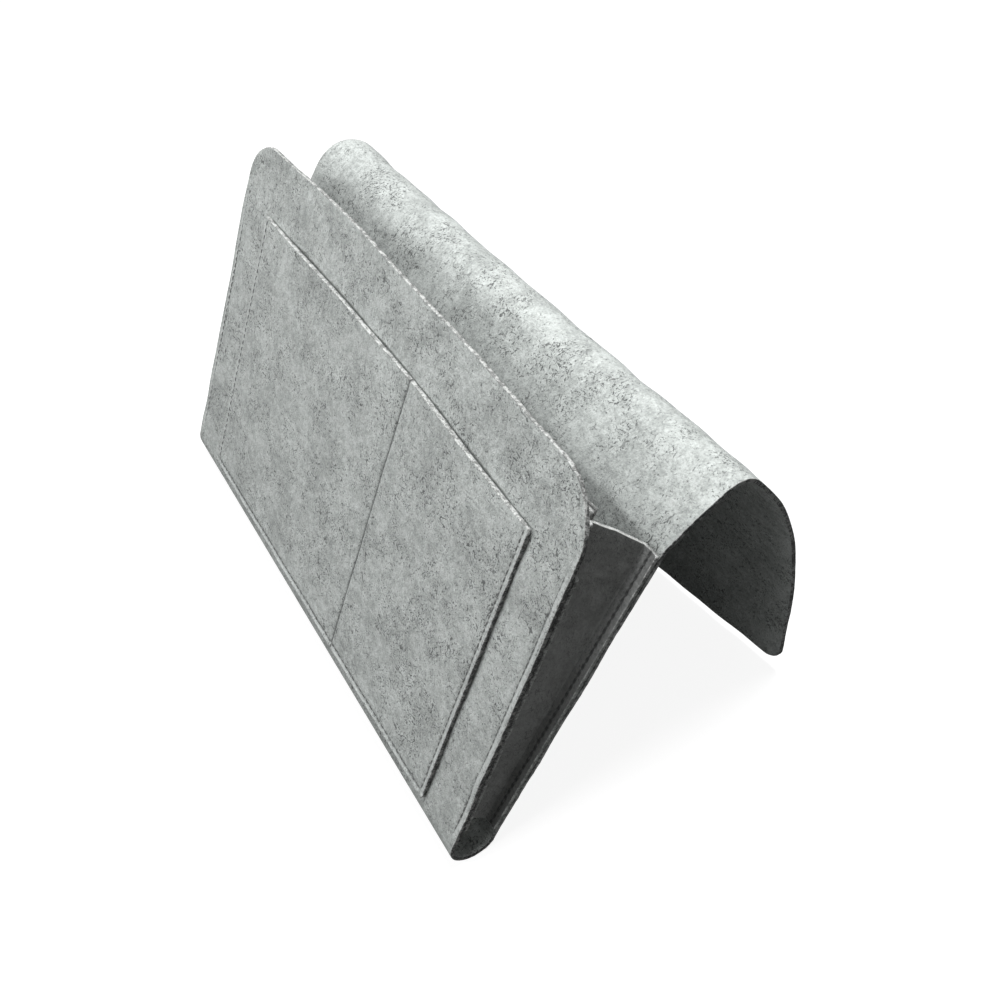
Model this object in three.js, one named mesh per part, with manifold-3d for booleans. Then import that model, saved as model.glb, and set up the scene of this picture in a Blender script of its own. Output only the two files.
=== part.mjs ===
// Hanging felt pocket, standing like a tent as it is photographed.
// One felt strip is folded into a front panel, a rounded bottom, a back panel, a rounded crest and a flap.
// Two felt gussets close the pocket's ends, and a felt patch on the front makes two flat pockets.
// Every seam is a lockstitch: a needle thread on one face and a bobbin thread on the other.
// Units are millimetres and degrees. X runs along the width, the front faces -Y, and +Z is up.
import * as THREE from 'three';
import { mergeVertices } from 'three/addons/utils/BufferGeometryUtils.js';
import Module from 'manifold-3d';

// Felt strip
const WIDTH = 320;
const FELT = 2;
const FRONT_HEIGHT = 195;
const FRONT_CORNER = 27;
const FOLD_RADIUS = 12;
const BACK_LENGTH = 171.5;
const CREST_AND_FLAP_LENGTH = 198.5;
const FLAP_CORNER = 9;

// How the strip is bent at its left end (-X) and at its right end (+X)
const BACK_LEAN = { left: 4.7, right: 7.2 };
const CREST_RADIUS = { left: 22, right: 29 };
const CREST_TURN = { left: 126.5, right: 116.5 };
const FLAP_DROOP = { left: 29, right: 34 };
const CORNER_LIFT_POWER = 2.45;

// Gussets
const GUSSET_FELT = 2;
const FLANGE = 7;
const GUSSET_FOOT_RISE = 7;
const GUSSET_FOOT_STEP = 5;
const GUSSET_FRONT_DROP = 14.5;
const GUSSET_BACK_DROP = 6;
const FRONT_FLANGE_RISE = 9;
const FRONT_FLANGE_DROP = 37;
const WEB_BOW = { left: 7, right: 1.5 };

// Patch pocket
const PATCH_FELT = 2;
const PATCH_LEFT_MARGIN = 32.5;
const PATCH_RIGHT_MARGIN = 27;
const PATCH_TOP_MARGIN = 34.5;
const PATCH_BOTTOM_RISE = 3.5;
const RIGHT_POCKET = 99.5;

// Threads
const THREAD_WIDTH = 0.9;
const THREAD_HEIGHT = 0.5;
const SEAM_INSET = 3.5;
const PATCH_SEAM_INSET = 2.5;

// Clearances
const STRETCH_GAP = 0.3;
const SEAM_GAP = 0.3;
const THREAD_GAP = 0.1;

// Facets
const STATIONS = 12;
const BACK_STEPS = 6;
const FOLD_STEPS = 14;
const CREST_STEPS = 14;
const FLAP_STEPS = 10;
const CORNER_STEPS = 4;
const WEB_STEPS = 6;
const MARCH_STEPS = 40;
const CURVE_SEGMENTS = 8;

// Colours of the felt and of the thread
const FELT_GREY = new THREE.Color(0.42, 0.43, 0.42);
const GUSSET_GREY = new THREE.Color(0.38, 0.39, 0.385);
const THREAD_GREY = new THREE.Color(0.3, 0.305, 0.3);
const FELT_ROUGHNESS = 0.95;
const THREAD_ROUGHNESS = 0.7;

const HALF = WIDTH / 2;
const radians = THREE.MathUtils.degToRad;
const lerp = THREE.MathUtils.lerp;

const wasm = await Module();
wasm.setup();

// Direction in the YZ plane, turned by an angle from straight up towards the rear.
function along(angle) {
  return new THREE.Vector2(Math.sin(angle), Math.cos(angle));
}

// Normal of a strip that runs along that direction, pointing to its rear or under face.
function rearward(angle) {
  return new THREE.Vector2(Math.cos(angle), -Math.sin(angle));
}

// The bend values of the strip at a station across its width.
function bendAt(x) {
  const share = (x + HALF) / WIDTH;
  const lifted = Math.pow(share, CORNER_LIFT_POWER);
  const radius = lerp(CREST_RADIUS.left, CREST_RADIUS.right, lifted) + FELT / 2;
  const turn = radians(lerp(CREST_TURN.left, CREST_TURN.right, lifted));
  return {
    lean: radians(lerp(BACK_LEAN.left, BACK_LEAN.right, share)),
    radius,
    turn,
    droop: radians(lerp(FLAP_DROOP.left, FLAP_DROOP.right, lifted)),
    flapLength: CREST_AND_FLAP_LENGTH - radius * turn,
  };
}

// A point of a stretch is its place on the strip's middle surface and the angle that the strip runs at.
// The YZ frame here has Y = 0 on the front panel's outer face and Z = 0 where the bottom fold begins.

function foldPoint(x, share) {
  const sweep = Math.PI - bendAt(x).lean;
  const trim = STRETCH_GAP / 2 / FOLD_RADIUS;
  const angle = Math.PI + lerp(trim, sweep - trim, share);
  const out = new THREE.Vector2(Math.cos(angle), Math.sin(angle));
  const place = new THREE.Vector2(FOLD_RADIUS, 0).addScaledVector(out, FOLD_RADIUS - FELT / 2);
  return { place, normal: out };
}

function backPoint(x, distance) {
  const { lean } = bendAt(x);
  const normal = rearward(lean);
  const place = new THREE.Vector2(FOLD_RADIUS, 0)
    .addScaledVector(normal, FOLD_RADIUS - FELT / 2)
    .addScaledVector(along(lean), distance);
  return { place, normal };
}

function crestPoint(x, share) {
  const { lean, radius, turn } = bendAt(x);
  const root = backPoint(x, BACK_LENGTH);
  const centre = root.place.clone().addScaledVector(root.normal, radius);
  const normal = rearward(lean + turn * share);
  return { place: centre.addScaledVector(normal, -radius), normal };
}

// The flap goes on from the crest and droops less and less towards its tip.
function flapPoint(x, share) {
  const { lean, turn, droop, flapLength } = bendAt(x);
  const runAt = (u) => lean + turn + droop * (2 * u - u * u);
  const { place } = crestPoint(x, 1);
  for (let step = 0; step < MARCH_STEPS; step += 1) {
    const middle = (share * (step + 0.5)) / MARCH_STEPS;
    place.addScaledVector(along(runAt(middle)), (flapLength * share) / MARCH_STEPS);
  }
  return { place, normal: rearward(runAt(share)) };
}

// A place in space, moved off the middle surface towards the rear or under face.
function offset(x, point, distance) {
  const { place, normal } = point;
  return new THREE.Vector3(x, place.x + normal.x * distance, place.y + normal.y * distance);
}

// A closed slab between two grids of points, side 0 and side 1, that share their rims.
function slab(rows, columns, placeAt) {
  const positions = [];
  for (const side of [0, 1]) {
    for (let row = 0; row <= rows; row += 1) {
      for (let column = 0; column <= columns; column += 1) {
        positions.push(...placeAt(row, column, side).toArray());
      }
    }
  }
  const id = (side, row, column) => (side * (rows + 1) + row) * (columns + 1) + column;
  const faces = [];
  const quad = (a, b, c, d) => faces.push(a, b, c, a, c, d);
  for (let row = 0; row < rows; row += 1) {
    for (let column = 0; column < columns; column += 1) {
      quad(id(0, row, column), id(0, row, column + 1), id(0, row + 1, column + 1), id(0, row + 1, column));
      quad(id(1, row, column), id(1, row + 1, column), id(1, row + 1, column + 1), id(1, row, column + 1));
    }
  }
  for (let row = 0; row < rows; row += 1) {
    quad(id(0, row, 0), id(0, row + 1, 0), id(1, row + 1, 0), id(1, row, 0));
    quad(id(0, row + 1, columns), id(0, row, columns), id(1, row, columns), id(1, row + 1, columns));
  }
  for (let column = 0; column < columns; column += 1) {
    quad(id(0, 0, column + 1), id(0, 0, column), id(1, 0, column), id(1, 0, column + 1));
    quad(id(0, rows, column), id(0, rows, column + 1), id(1, rows, column + 1), id(1, rows, column));
  }
  const geometry = new THREE.BufferGeometry();
  geometry.setAttribute('position', new THREE.Float32BufferAttribute(positions, 3));
  geometry.setIndex(faces);
  return geometry;
}

function toSolid(geometry) {
  const bare = geometry.clone();
  bare.deleteAttribute('normal');
  bare.deleteAttribute('uv');
  const merged = mergeVertices(bare);
  const vertProperties = new Float32Array(merged.attributes.position.array);
  const triVerts = new Uint32Array(merged.index.array);
  return new wasm.Manifold(new wasm.Mesh({ numProp: 3, vertProperties, triVerts }));
}

function joined(geometries) {
  const solid = geometries.map(toSolid).reduce((sum, next) => sum.add(next));
  const mesh = solid.getMesh();
  const geometry = new THREE.BufferGeometry();
  geometry.setAttribute('position', new THREE.BufferAttribute(mesh.vertProperties, 3));
  geometry.setIndex(new THREE.BufferAttribute(mesh.triVerts, 1));
  return geometry;
}

// An outline in X and Z, made thick along Y from its front face to its rear face.
function plate(shape, front, rear) {
  const geometry = new THREE.ExtrudeGeometry(shape, {
    depth: rear - front,
    bevelEnabled: false,
    curveSegments: CURVE_SEGMENTS,
  });
  geometry.rotateX(Math.PI / 2);
  geometry.translate(0, rear, 0);
  return geometry;
}

function rectangle(left, right, bottom, top) {
  const shape = new THREE.Shape();
  shape.moveTo(left, bottom);
  shape.lineTo(right, bottom);
  shape.lineTo(right, top);
  shape.lineTo(left, top);
  shape.closePath();
  return shape;
}

// Everything hangs in one group that is pitched back until the fold and the flap's tip stand on Z = 0.
const pocket = new THREE.Group();

function addPiece(name, geometry, color, roughness) {
  const material = new THREE.MeshStandardMaterial({ color, roughness, metalness: 0 });
  const mesh = new THREE.Mesh(geometry, material);
  mesh.name = name;
  pocket.add(mesh);
}

const stationAt = (column) => lerp(-HALF, HALF, column / STATIONS);
const faceOf = (side) => (side === 0 ? -FELT / 2 : FELT / 2);

// Front panel, with its two rounded top corners
const frontFoot = STRETCH_GAP / 2;
const frontOutline = new THREE.Shape();
frontOutline.moveTo(-HALF, frontFoot);
frontOutline.lineTo(HALF, frontFoot);
frontOutline.lineTo(HALF, FRONT_HEIGHT - FRONT_CORNER);
frontOutline.absarc(HALF - FRONT_CORNER, FRONT_HEIGHT - FRONT_CORNER, FRONT_CORNER, 0, Math.PI / 2);
frontOutline.lineTo(-HALF + FRONT_CORNER, FRONT_HEIGHT);
frontOutline.absarc(-HALF + FRONT_CORNER, FRONT_HEIGHT - FRONT_CORNER, FRONT_CORNER, Math.PI / 2, Math.PI);
frontOutline.closePath();
addPiece('front_panel', plate(frontOutline, 0, FELT), FELT_GREY, FELT_ROUGHNESS);

// Bottom fold, back panel and crest: the strip's stretches from the front panel's foot upwards
const foldSlab = slab(FOLD_STEPS, STATIONS, (row, column, side) => {
  const x = stationAt(column);
  return offset(x, foldPoint(x, row / FOLD_STEPS), faceOf(side));
});
addPiece('bottom_fold', foldSlab, FELT_GREY, FELT_ROUGHNESS);

const backSlab = slab(BACK_STEPS, STATIONS, (row, column, side) => {
  const x = stationAt(column);
  const distance = lerp(STRETCH_GAP / 2, BACK_LENGTH - STRETCH_GAP / 2, row / BACK_STEPS);
  return offset(x, backPoint(x, distance), faceOf(side));
});
addPiece('back_panel', backSlab, FELT_GREY, FELT_ROUGHNESS);

const crestSlab = slab(CREST_STEPS, STATIONS, (row, column, side) => {
  const x = stationAt(column);
  const { radius, turn } = bendAt(x);
  const trim = STRETCH_GAP / 2 / (radius * turn);
  return offset(x, crestPoint(x, lerp(trim, 1 - trim, row / CREST_STEPS)), faceOf(side));
});
addPiece('crest_bend', crestSlab, FELT_GREY, FELT_ROUGHNESS);

// Flap: rows down to its rounded tip corners, then rows that follow the corners' arcs
const flapSlab = slab(FLAP_STEPS + CORNER_STEPS, STATIONS, (row, column, side) => {
  const sweep = (Math.max(row - FLAP_STEPS, 0) / CORNER_STEPS) * (Math.PI / 2);
  const halfWidth = HALF - FLAP_CORNER * (1 - Math.cos(sweep));
  const x = lerp(-halfWidth, halfWidth, column / STATIONS);
  const { flapLength } = bendAt(x);
  const straight = lerp(STRETCH_GAP / 2, flapLength - FLAP_CORNER, Math.min(row / FLAP_STEPS, 1));
  const distance = straight + FLAP_CORNER * Math.sin(sweep);
  return offset(x, flapPoint(x, distance / flapLength), faceOf(side));
});
addPiece('flap', flapSlab, FELT_GREY, FELT_ROUGHNESS);

// Gussets: a web between the panels, with two flanges turned outwards and sewn to the panels' inner faces
const flangeFace = FELT + SEAM_GAP;
const webFace = HALF - FLANGE;
const frontFlangeTop = FRONT_HEIGHT - FRONT_FLANGE_DROP;
const gussetFrontTop = FRONT_HEIGHT - GUSSET_FRONT_DROP;
const gussetBackTop = BACK_LENGTH - GUSSET_BACK_DROP;
const gussetFrontFoot = GUSSET_FOOT_RISE + GUSSET_FOOT_STEP;

// A point on the back panel's inner face, lifted off it by a height.
function onBackInner(x, distance, height) {
  return offset(x, backPoint(x, distance), -FELT / 2 - height);
}

function gusset(sign, bow) {
  const webSlab = slab(WEB_STEPS, WEB_STEPS, (row, column, side) => {
    const level = row / WEB_STEPS;
    const across = column / WEB_STEPS;
    const inward = bow * level * 4 * across * (1 - across);
    const x = sign * (webFace - inward - (side === 0 ? 0 : GUSSET_FELT));
    const front = new THREE.Vector3(x, flangeFace, lerp(gussetFrontFoot, gussetFrontTop, level));
    const back = onBackInner(x, lerp(GUSSET_FOOT_RISE, gussetBackTop, level), SEAM_GAP);
    return front.lerp(back, sign > 0 ? across : 1 - across);
  });
  const flangeX = (column) => sign * lerp(webFace - GUSSET_FELT, HALF, sign > 0 ? column : 1 - column);
  const frontFlange = slab(1, 1, (row, column, side) => {
    const z = lerp(FRONT_FLANGE_RISE, frontFlangeTop, row);
    return new THREE.Vector3(flangeX(column), flangeFace + side * GUSSET_FELT, z);
  });
  const backFlange = slab(WEB_STEPS, 1, (row, column, side) => {
    const distance = lerp(GUSSET_FOOT_RISE, gussetBackTop, row / WEB_STEPS);
    return onBackInner(flangeX(column), distance, SEAM_GAP + (1 - side) * GUSSET_FELT);
  });
  return joined([webSlab, frontFlange, backFlange]);
}
addPiece('left_gusset', gusset(-1, WEB_BOW.left), GUSSET_GREY, FELT_ROUGHNESS);
addPiece('right_gusset', gusset(1, WEB_BOW.right), GUSSET_GREY, FELT_ROUGHNESS);

// Patch pocket on the front panel, open at its top
const patchLeft = -HALF + PATCH_LEFT_MARGIN;
const patchRight = HALF - PATCH_RIGHT_MARGIN;
const patchTop = FRONT_HEIGHT - PATCH_TOP_MARGIN;
const patchRear = -SEAM_GAP;
const patchFront = patchRear - PATCH_FELT;
const patchOutline = rectangle(patchLeft, patchRight, PATCH_BOTTOM_RISE, patchTop);
addPiece('patch_pocket', plate(patchOutline, patchFront, patchRear), FELT_GREY, FELT_ROUGHNESS);

// Threads lie flat on the felt. Each runs in the XZ plane of the front or along the leaning back panel.
function frontThread(name, shape, face, outward) {
  const near = face + outward * THREAD_GAP;
  const far = near + outward * THREAD_HEIGHT;
  const geometry = plate(shape, Math.min(near, far), Math.max(near, far));
  addPiece(name, geometry, THREAD_GREY, THREAD_ROUGHNESS);
}

function upright(x, bottom, top) {
  return rectangle(x - THREAD_WIDTH / 2, x + THREAD_WIDTH / 2, bottom, top);
}

function backThread(name, x, height) {
  const geometry = slab(WEB_STEPS, 1, (row, column, side) => {
    const distance = lerp(GUSSET_FOOT_RISE, gussetBackTop, row / WEB_STEPS);
    const across = x + lerp(-THREAD_WIDTH / 2, THREAD_WIDTH / 2, column);
    return onBackInner(across, distance, height + (1 - side) * THREAD_HEIGHT);
  });
  addPiece(name, geometry, THREAD_GREY, THREAD_ROUGHNESS);
}

const seams = [
  { side: 'left', x: -HALF + SEAM_INSET },
  { side: 'right', x: HALF - SEAM_INSET },
];
const flangeInner = flangeFace + GUSSET_FELT;
for (const { side, x } of seams) {
  const run = upright(x, FRONT_FLANGE_RISE, frontFlangeTop);
  frontThread(`front_${side}_needle_thread`, run, 0, -1);
  frontThread(`front_${side}_bobbin_thread`, run, flangeInner, 1);
  backThread(`back_${side}_needle_thread`, x, SEAM_GAP + GUSSET_FELT + THREAD_GAP);
  backThread(`back_${side}_bobbin_thread`, x, -FELT - THREAD_GAP - THREAD_HEIGHT);
}

// The patch seam goes down one side, along the bottom and up the other side in one run.
function patchSeamOutline() {
  const left = patchLeft + PATCH_SEAM_INSET;
  const right = patchRight - PATCH_SEAM_INSET;
  const bottom = PATCH_BOTTOM_RISE + PATCH_SEAM_INSET;
  const shape = new THREE.Shape();
  shape.moveTo(left, patchTop);
  shape.lineTo(left, bottom);
  shape.lineTo(right, bottom);
  shape.lineTo(right, patchTop);
  shape.lineTo(right - THREAD_WIDTH, patchTop);
  shape.lineTo(right - THREAD_WIDTH, bottom + THREAD_WIDTH);
  shape.lineTo(left + THREAD_WIDTH, bottom + THREAD_WIDTH);
  shape.lineTo(left + THREAD_WIDTH, patchTop);
  shape.closePath();
  return shape;
}
const dividerX = patchRight - RIGHT_POCKET;
const dividerFoot = PATCH_BOTTOM_RISE + PATCH_SEAM_INSET + THREAD_WIDTH + STRETCH_GAP;
const divider = upright(dividerX, dividerFoot, patchTop);
frontThread('patch_needle_thread', patchSeamOutline(), patchFront, -1);
frontThread('patch_bobbin_thread', patchSeamOutline(), FELT, 1);
frontThread('divider_needle_thread', divider, patchFront, -1);
frontThread('divider_bobbin_thread', divider, FELT, 1);

// Hinge axes, as bare frames whose local X is the axis. A bend's hinge sits at its arc's centre of length.
function hinge(name, pointAt) {
  const ends = [-HALF, HALF].map((x) => {
    const { place: centre } = pointAt(x);
    return new THREE.Vector3(x, centre.x, centre.y);
  });
  const axis = new THREE.Object3D();
  axis.name = name;
  axis.position.copy(ends[0]).lerp(ends[1], 0.5);
  const run = ends[1].clone().sub(ends[0]).normalize();
  axis.quaternion.setFromUnitVectors(new THREE.Vector3(1, 0, 0), run);
  pocket.add(axis);
}

// Mean place of a stretch between two shares of its length.
function middleOf(pointAt, x, from, to) {
  const sum = new THREE.Vector2();
  for (let step = 0; step < MARCH_STEPS; step += 1) {
    const share = lerp(from, to, (step + 0.5) / MARCH_STEPS);
    sum.addScaledVector(pointAt(x, share).place, 1 / MARCH_STEPS);
  }
  return { place: sum };
}
hinge('pocket_hinge', (x) => middleOf(foldPoint, x, 0, 1));
hinge('crest_hinge', (x) => middleOf(crestPoint, x, 0, 0.5));
hinge('flap_hinge', (x) => middleOf(crestPoint, x, 0.5, 1));

// The floor is the line that touches the fold's circle and the flap's tip, at the corner that meets it first.
function pitchAt(x, height) {
  const tip = offset(x, flapPoint(x, 1), height);
  const reach = new THREE.Vector2(tip.y - FOLD_RADIUS, tip.z);
  return reach.angle() + Math.asin(FOLD_RADIUS / reach.length());
}
const tipStations = Array.from({ length: STATIONS + 1 }, (_, column) => stationAt(column));
const pitches = tipStations.flatMap((x) => [0, 1].map((side) => pitchAt(x, faceOf(side))));
pocket.rotation.x = -Math.min(...pitches);

// The origin is on the floor, under the middle of the standing part.
const part = new THREE.Group();
part.add(pocket);
part.updateMatrixWorld(true);
const box = new THREE.Box3().setFromObject(part, true);
const middle = box.getCenter(new THREE.Vector3());
pocket.position.set(-middle.x, -middle.y, -box.min.z);

export default part;
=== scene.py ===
"""Looks of a hanging felt pocket that stands like a tent on a pale floor.

One felt strip makes the front, the bottom fold, the back, the crest and the flap. Two gussets close the
pocket's ends, a patch makes two flat pockets on the front, and rows of stitches hold the seams. All sizes are
in metres. Places are first worked out in the panel frame, where y = 0 is the front's outer face, y runs to
the rear, and z = 0 is where the bottom fold begins. The stand then pitches that frame back until the pocket
rests on the floor.
"""

import logging
import math
from collections.abc import Callable
from dataclasses import dataclass, field
from enum import Enum, IntEnum
from typing import NamedTuple

import bpy
import numpy as np
from mathutils import Matrix, Quaternion, Vector


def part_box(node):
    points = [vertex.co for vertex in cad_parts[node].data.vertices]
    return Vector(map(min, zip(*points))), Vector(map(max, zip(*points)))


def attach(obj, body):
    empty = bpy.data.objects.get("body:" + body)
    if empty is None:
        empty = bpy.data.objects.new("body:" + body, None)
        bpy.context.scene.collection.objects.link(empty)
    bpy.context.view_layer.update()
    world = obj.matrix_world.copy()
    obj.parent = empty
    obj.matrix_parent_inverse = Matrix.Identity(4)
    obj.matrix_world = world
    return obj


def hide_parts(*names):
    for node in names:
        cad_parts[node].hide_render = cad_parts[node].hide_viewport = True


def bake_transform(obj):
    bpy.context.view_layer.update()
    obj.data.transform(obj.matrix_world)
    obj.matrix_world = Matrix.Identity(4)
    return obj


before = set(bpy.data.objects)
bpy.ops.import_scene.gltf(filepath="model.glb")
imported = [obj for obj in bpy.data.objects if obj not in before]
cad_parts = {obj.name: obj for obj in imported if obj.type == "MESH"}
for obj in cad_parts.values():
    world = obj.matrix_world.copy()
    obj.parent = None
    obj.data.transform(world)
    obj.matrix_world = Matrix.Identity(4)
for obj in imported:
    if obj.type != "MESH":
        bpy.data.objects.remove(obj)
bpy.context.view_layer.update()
LOG = logging.getLogger("felt_pocket")

Array = np.ndarray
Color = tuple[float, float, float]
Point = tuple[float, float, float]
Lay = Callable[[Array, Array, Array], Array]


# Small maths


def smooth(value: Array | float, low: float, high: float) -> Array:
    """Smooth step: 0 below low, 1 above high, and 3t^2 - 2t^3 of the share t between them."""
    share = np.clip((np.asarray(value) - low) / (high - low), 0.0, 1.0)
    return share * share * (3.0 - 2.0 * share)


def mix(pair: tuple[float, float], share: Array) -> Array:
    """A value between the two of a pair, at a share of the way."""
    return pair[0] + (pair[1] - pair[0]) * share


def ripple(u: Array, v: Array, seed: int, shortest: float, longest: float, waves: int = 14) -> Array:
    """Gentle unevenness: a sum of sine waves of seeded directions, lengths and phases, about 1 in spread.

    Args:
        u: First flat coordinate.
        v: Second flat coordinate.
        seed: Seed of the waves.
        shortest: Shortest wave length.
        longest: Longest wave length.
        waves: How many waves are summed.

    Returns:
        The sum at each place.
    """
    rng = np.random.default_rng(seed)
    heading = rng.uniform(0.0, math.pi, waves)
    length = np.exp(rng.uniform(math.log(shortest), math.log(longest), waves))
    phase = rng.uniform(0.0, 2.0 * math.pi, waves)
    along = np.multiply.outer(np.cos(heading), u) + np.multiply.outer(np.sin(heading), v)
    shape = (waves,) + (1,) * np.ndim(u)
    turns = along / length.reshape(shape) + (phase / (2.0 * math.pi)).reshape(shape)
    return np.sin(2.0 * math.pi * turns).sum(axis=0) / math.sqrt(waves / 2.0)


def marks(low: float, high: float, step: float, *lines: float, spread: tuple[float, ...] = ()) -> Array:
    """Grid marks at a steady step, with closer marks beside given lines.

    Args:
        low: First mark.
        high: Last mark.
        step: Largest step between marks.
        lines: Places that get closer marks.
        spread: Distances of the closer marks from each line.

    Returns:
        Sorted marks, from low to high.
    """
    even = np.linspace(low, high, max(2, math.ceil((high - low) / step) + 1))
    near = np.add.outer(np.array(lines), np.array(spread)).ravel() if lines else np.zeros(0)
    near = near[(near > low) & (near < high)]
    if near.size:
        gaps = np.abs(np.subtract.outer(even[1:-1], near)).min(axis=1)
        even = np.concatenate([even[:1], even[1:-1][gaps > step * 0.3], even[-1:]])
    return np.unique(np.concatenate([even, near]))


# Mesh data


@dataclass
class MeshData:
    """Points and four-sided faces of a closed piece, with what its finish reads at each point.

    Attributes:
        points: Places, one row each.
        faces: Four point numbers for each face, counter-clockwise from outside.
        cut: Place of each point on the flat cut, with its height in the felt as the third number.
        press: How far sewing presses the felt, up to 1, which the finish paints lighter, partly as a painted
            highlight, or below 0 the strength of painted shade.
        finish: Number of the material of each face.
        creases: Groups of points whose joining edges stay sharp.
    """

    points: Array
    faces: Array
    cut: Array
    press: Array
    finish: Array
    creases: list[Array] = field(default_factory=list)

    @staticmethod
    def joined(parts: list["MeshData"]) -> "MeshData":
        """All the parts as one, each keeping its own points.

        Args:
            parts: The parts.

        Returns:
            The whole.
        """
        starts = np.cumsum([0] + [len(part.points) for part in parts])
        plain = ("points", "cut", "press", "finish")
        return MeshData(
            faces=np.concatenate([part.faces + start for part, start in zip(parts, starts)]),
            creases=[group + start for part, start in zip(parts, starts) for group in part.creases],
            **{name: np.concatenate([getattr(part, name) for part in parts]) for name in plain},
        )

    def make(self, name: str, materials: list[bpy.types.Material]) -> bpy.types.Object:
        """Puts the data into a new Blender object at the origin.

        Args:
            name: Name of the object and its mesh.
            materials: Materials by number.

        Returns:
            The new object.
        """
        mesh = bpy.data.meshes.new(name)
        mesh.vertices.add(len(self.points))
        mesh.vertices.foreach_set("co", self.points.astype(np.float32).ravel())
        mesh.loops.add(self.faces.size)
        mesh.loops.foreach_set("vertex_index", self.faces.astype(np.int32).ravel())
        mesh.polygons.add(len(self.faces))
        mesh.polygons.foreach_set("loop_start", np.arange(0, self.faces.size, 4, dtype=np.int32))
        mesh.polygons.foreach_set("material_index", self.finish.astype(np.int32))
        mesh.polygons.foreach_set("use_smooth", np.ones(len(self.faces), dtype=bool))
        mesh.update(calc_edges=True)
        cut = mesh.attributes.new("cut_place", "FLOAT_VECTOR", "POINT")
        cut.data.foreach_set("vector", self.cut.astype(np.float32).ravel())
        press = mesh.attributes.new("press", "FLOAT", "POINT")
        press.data.foreach_set("value", self.press.astype(np.float32))
        if self.creases:
            self._sharpen(mesh)
        for material in materials:
            mesh.materials.append(material)
        piece = bpy.data.objects.new(name, mesh)
        bpy.context.scene.collection.objects.link(piece)
        return piece

    def _sharpen(self, mesh: bpy.types.Mesh) -> None:
        """Marks every edge that joins two points of one crease as sharp.

        Args:
            mesh: The mesh made of this data.
        """
        ends = np.zeros(len(mesh.edges) * 2, dtype=np.int32)
        mesh.edges.foreach_get("vertices", ends)
        ends = ends.reshape(-1, 2)
        sharp = np.zeros(len(ends), dtype=bool)
        for group in self.creases:
            inside = np.zeros(len(self.points), dtype=bool)
            inside[group] = True
            sharp |= inside[ends].all(axis=1)
        mesh.attributes.new("sharp_edge", "BOOLEAN", "EDGE").data.foreach_set("value", sharp)


@dataclass(frozen=True)
class CutEdge:
    """The raw edge of cut felt: a bulging band round a sheet, with loose, uneven fibres.

    Attributes:
        depth: How far the band stands out from the face's rim.
        square: Power of the band's outline; 2 is round and higher powers are squarer.
        bands: Rings of points between the two faces.
        shag: Unevenness, as a share of the depth.
        painted_rim_shading: Press at the lower face's rim: above 0 a painted highlight, below 0 painted
            shade.
        seed: Seed of the unevenness.
    """

    depth: float = 0.0004
    square: float = 5.0
    bands: int = 9
    shag: float = 0.22
    painted_rim_shading: float = -0.5
    seed: int = 5

    def outline(self) -> tuple[Array, Array]:
        """Heights from 1 to -1 and reaches from 0 to 1 of the rings: cos and sin to the power 2 / square.

        Returns:
            Heights and reaches, one of each for every ring.
        """
        turn = np.linspace(0.0, math.pi, self.bands + 2)[1:-1]
        power = 2.0 / self.square
        height = np.sign(np.cos(turn)) * np.abs(np.cos(turn)) ** power
        return height, np.sin(turn) ** power


class Face(IntEnum):
    """Material numbers of a felt piece."""

    FELT = 0
    EDGE = 1


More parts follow.
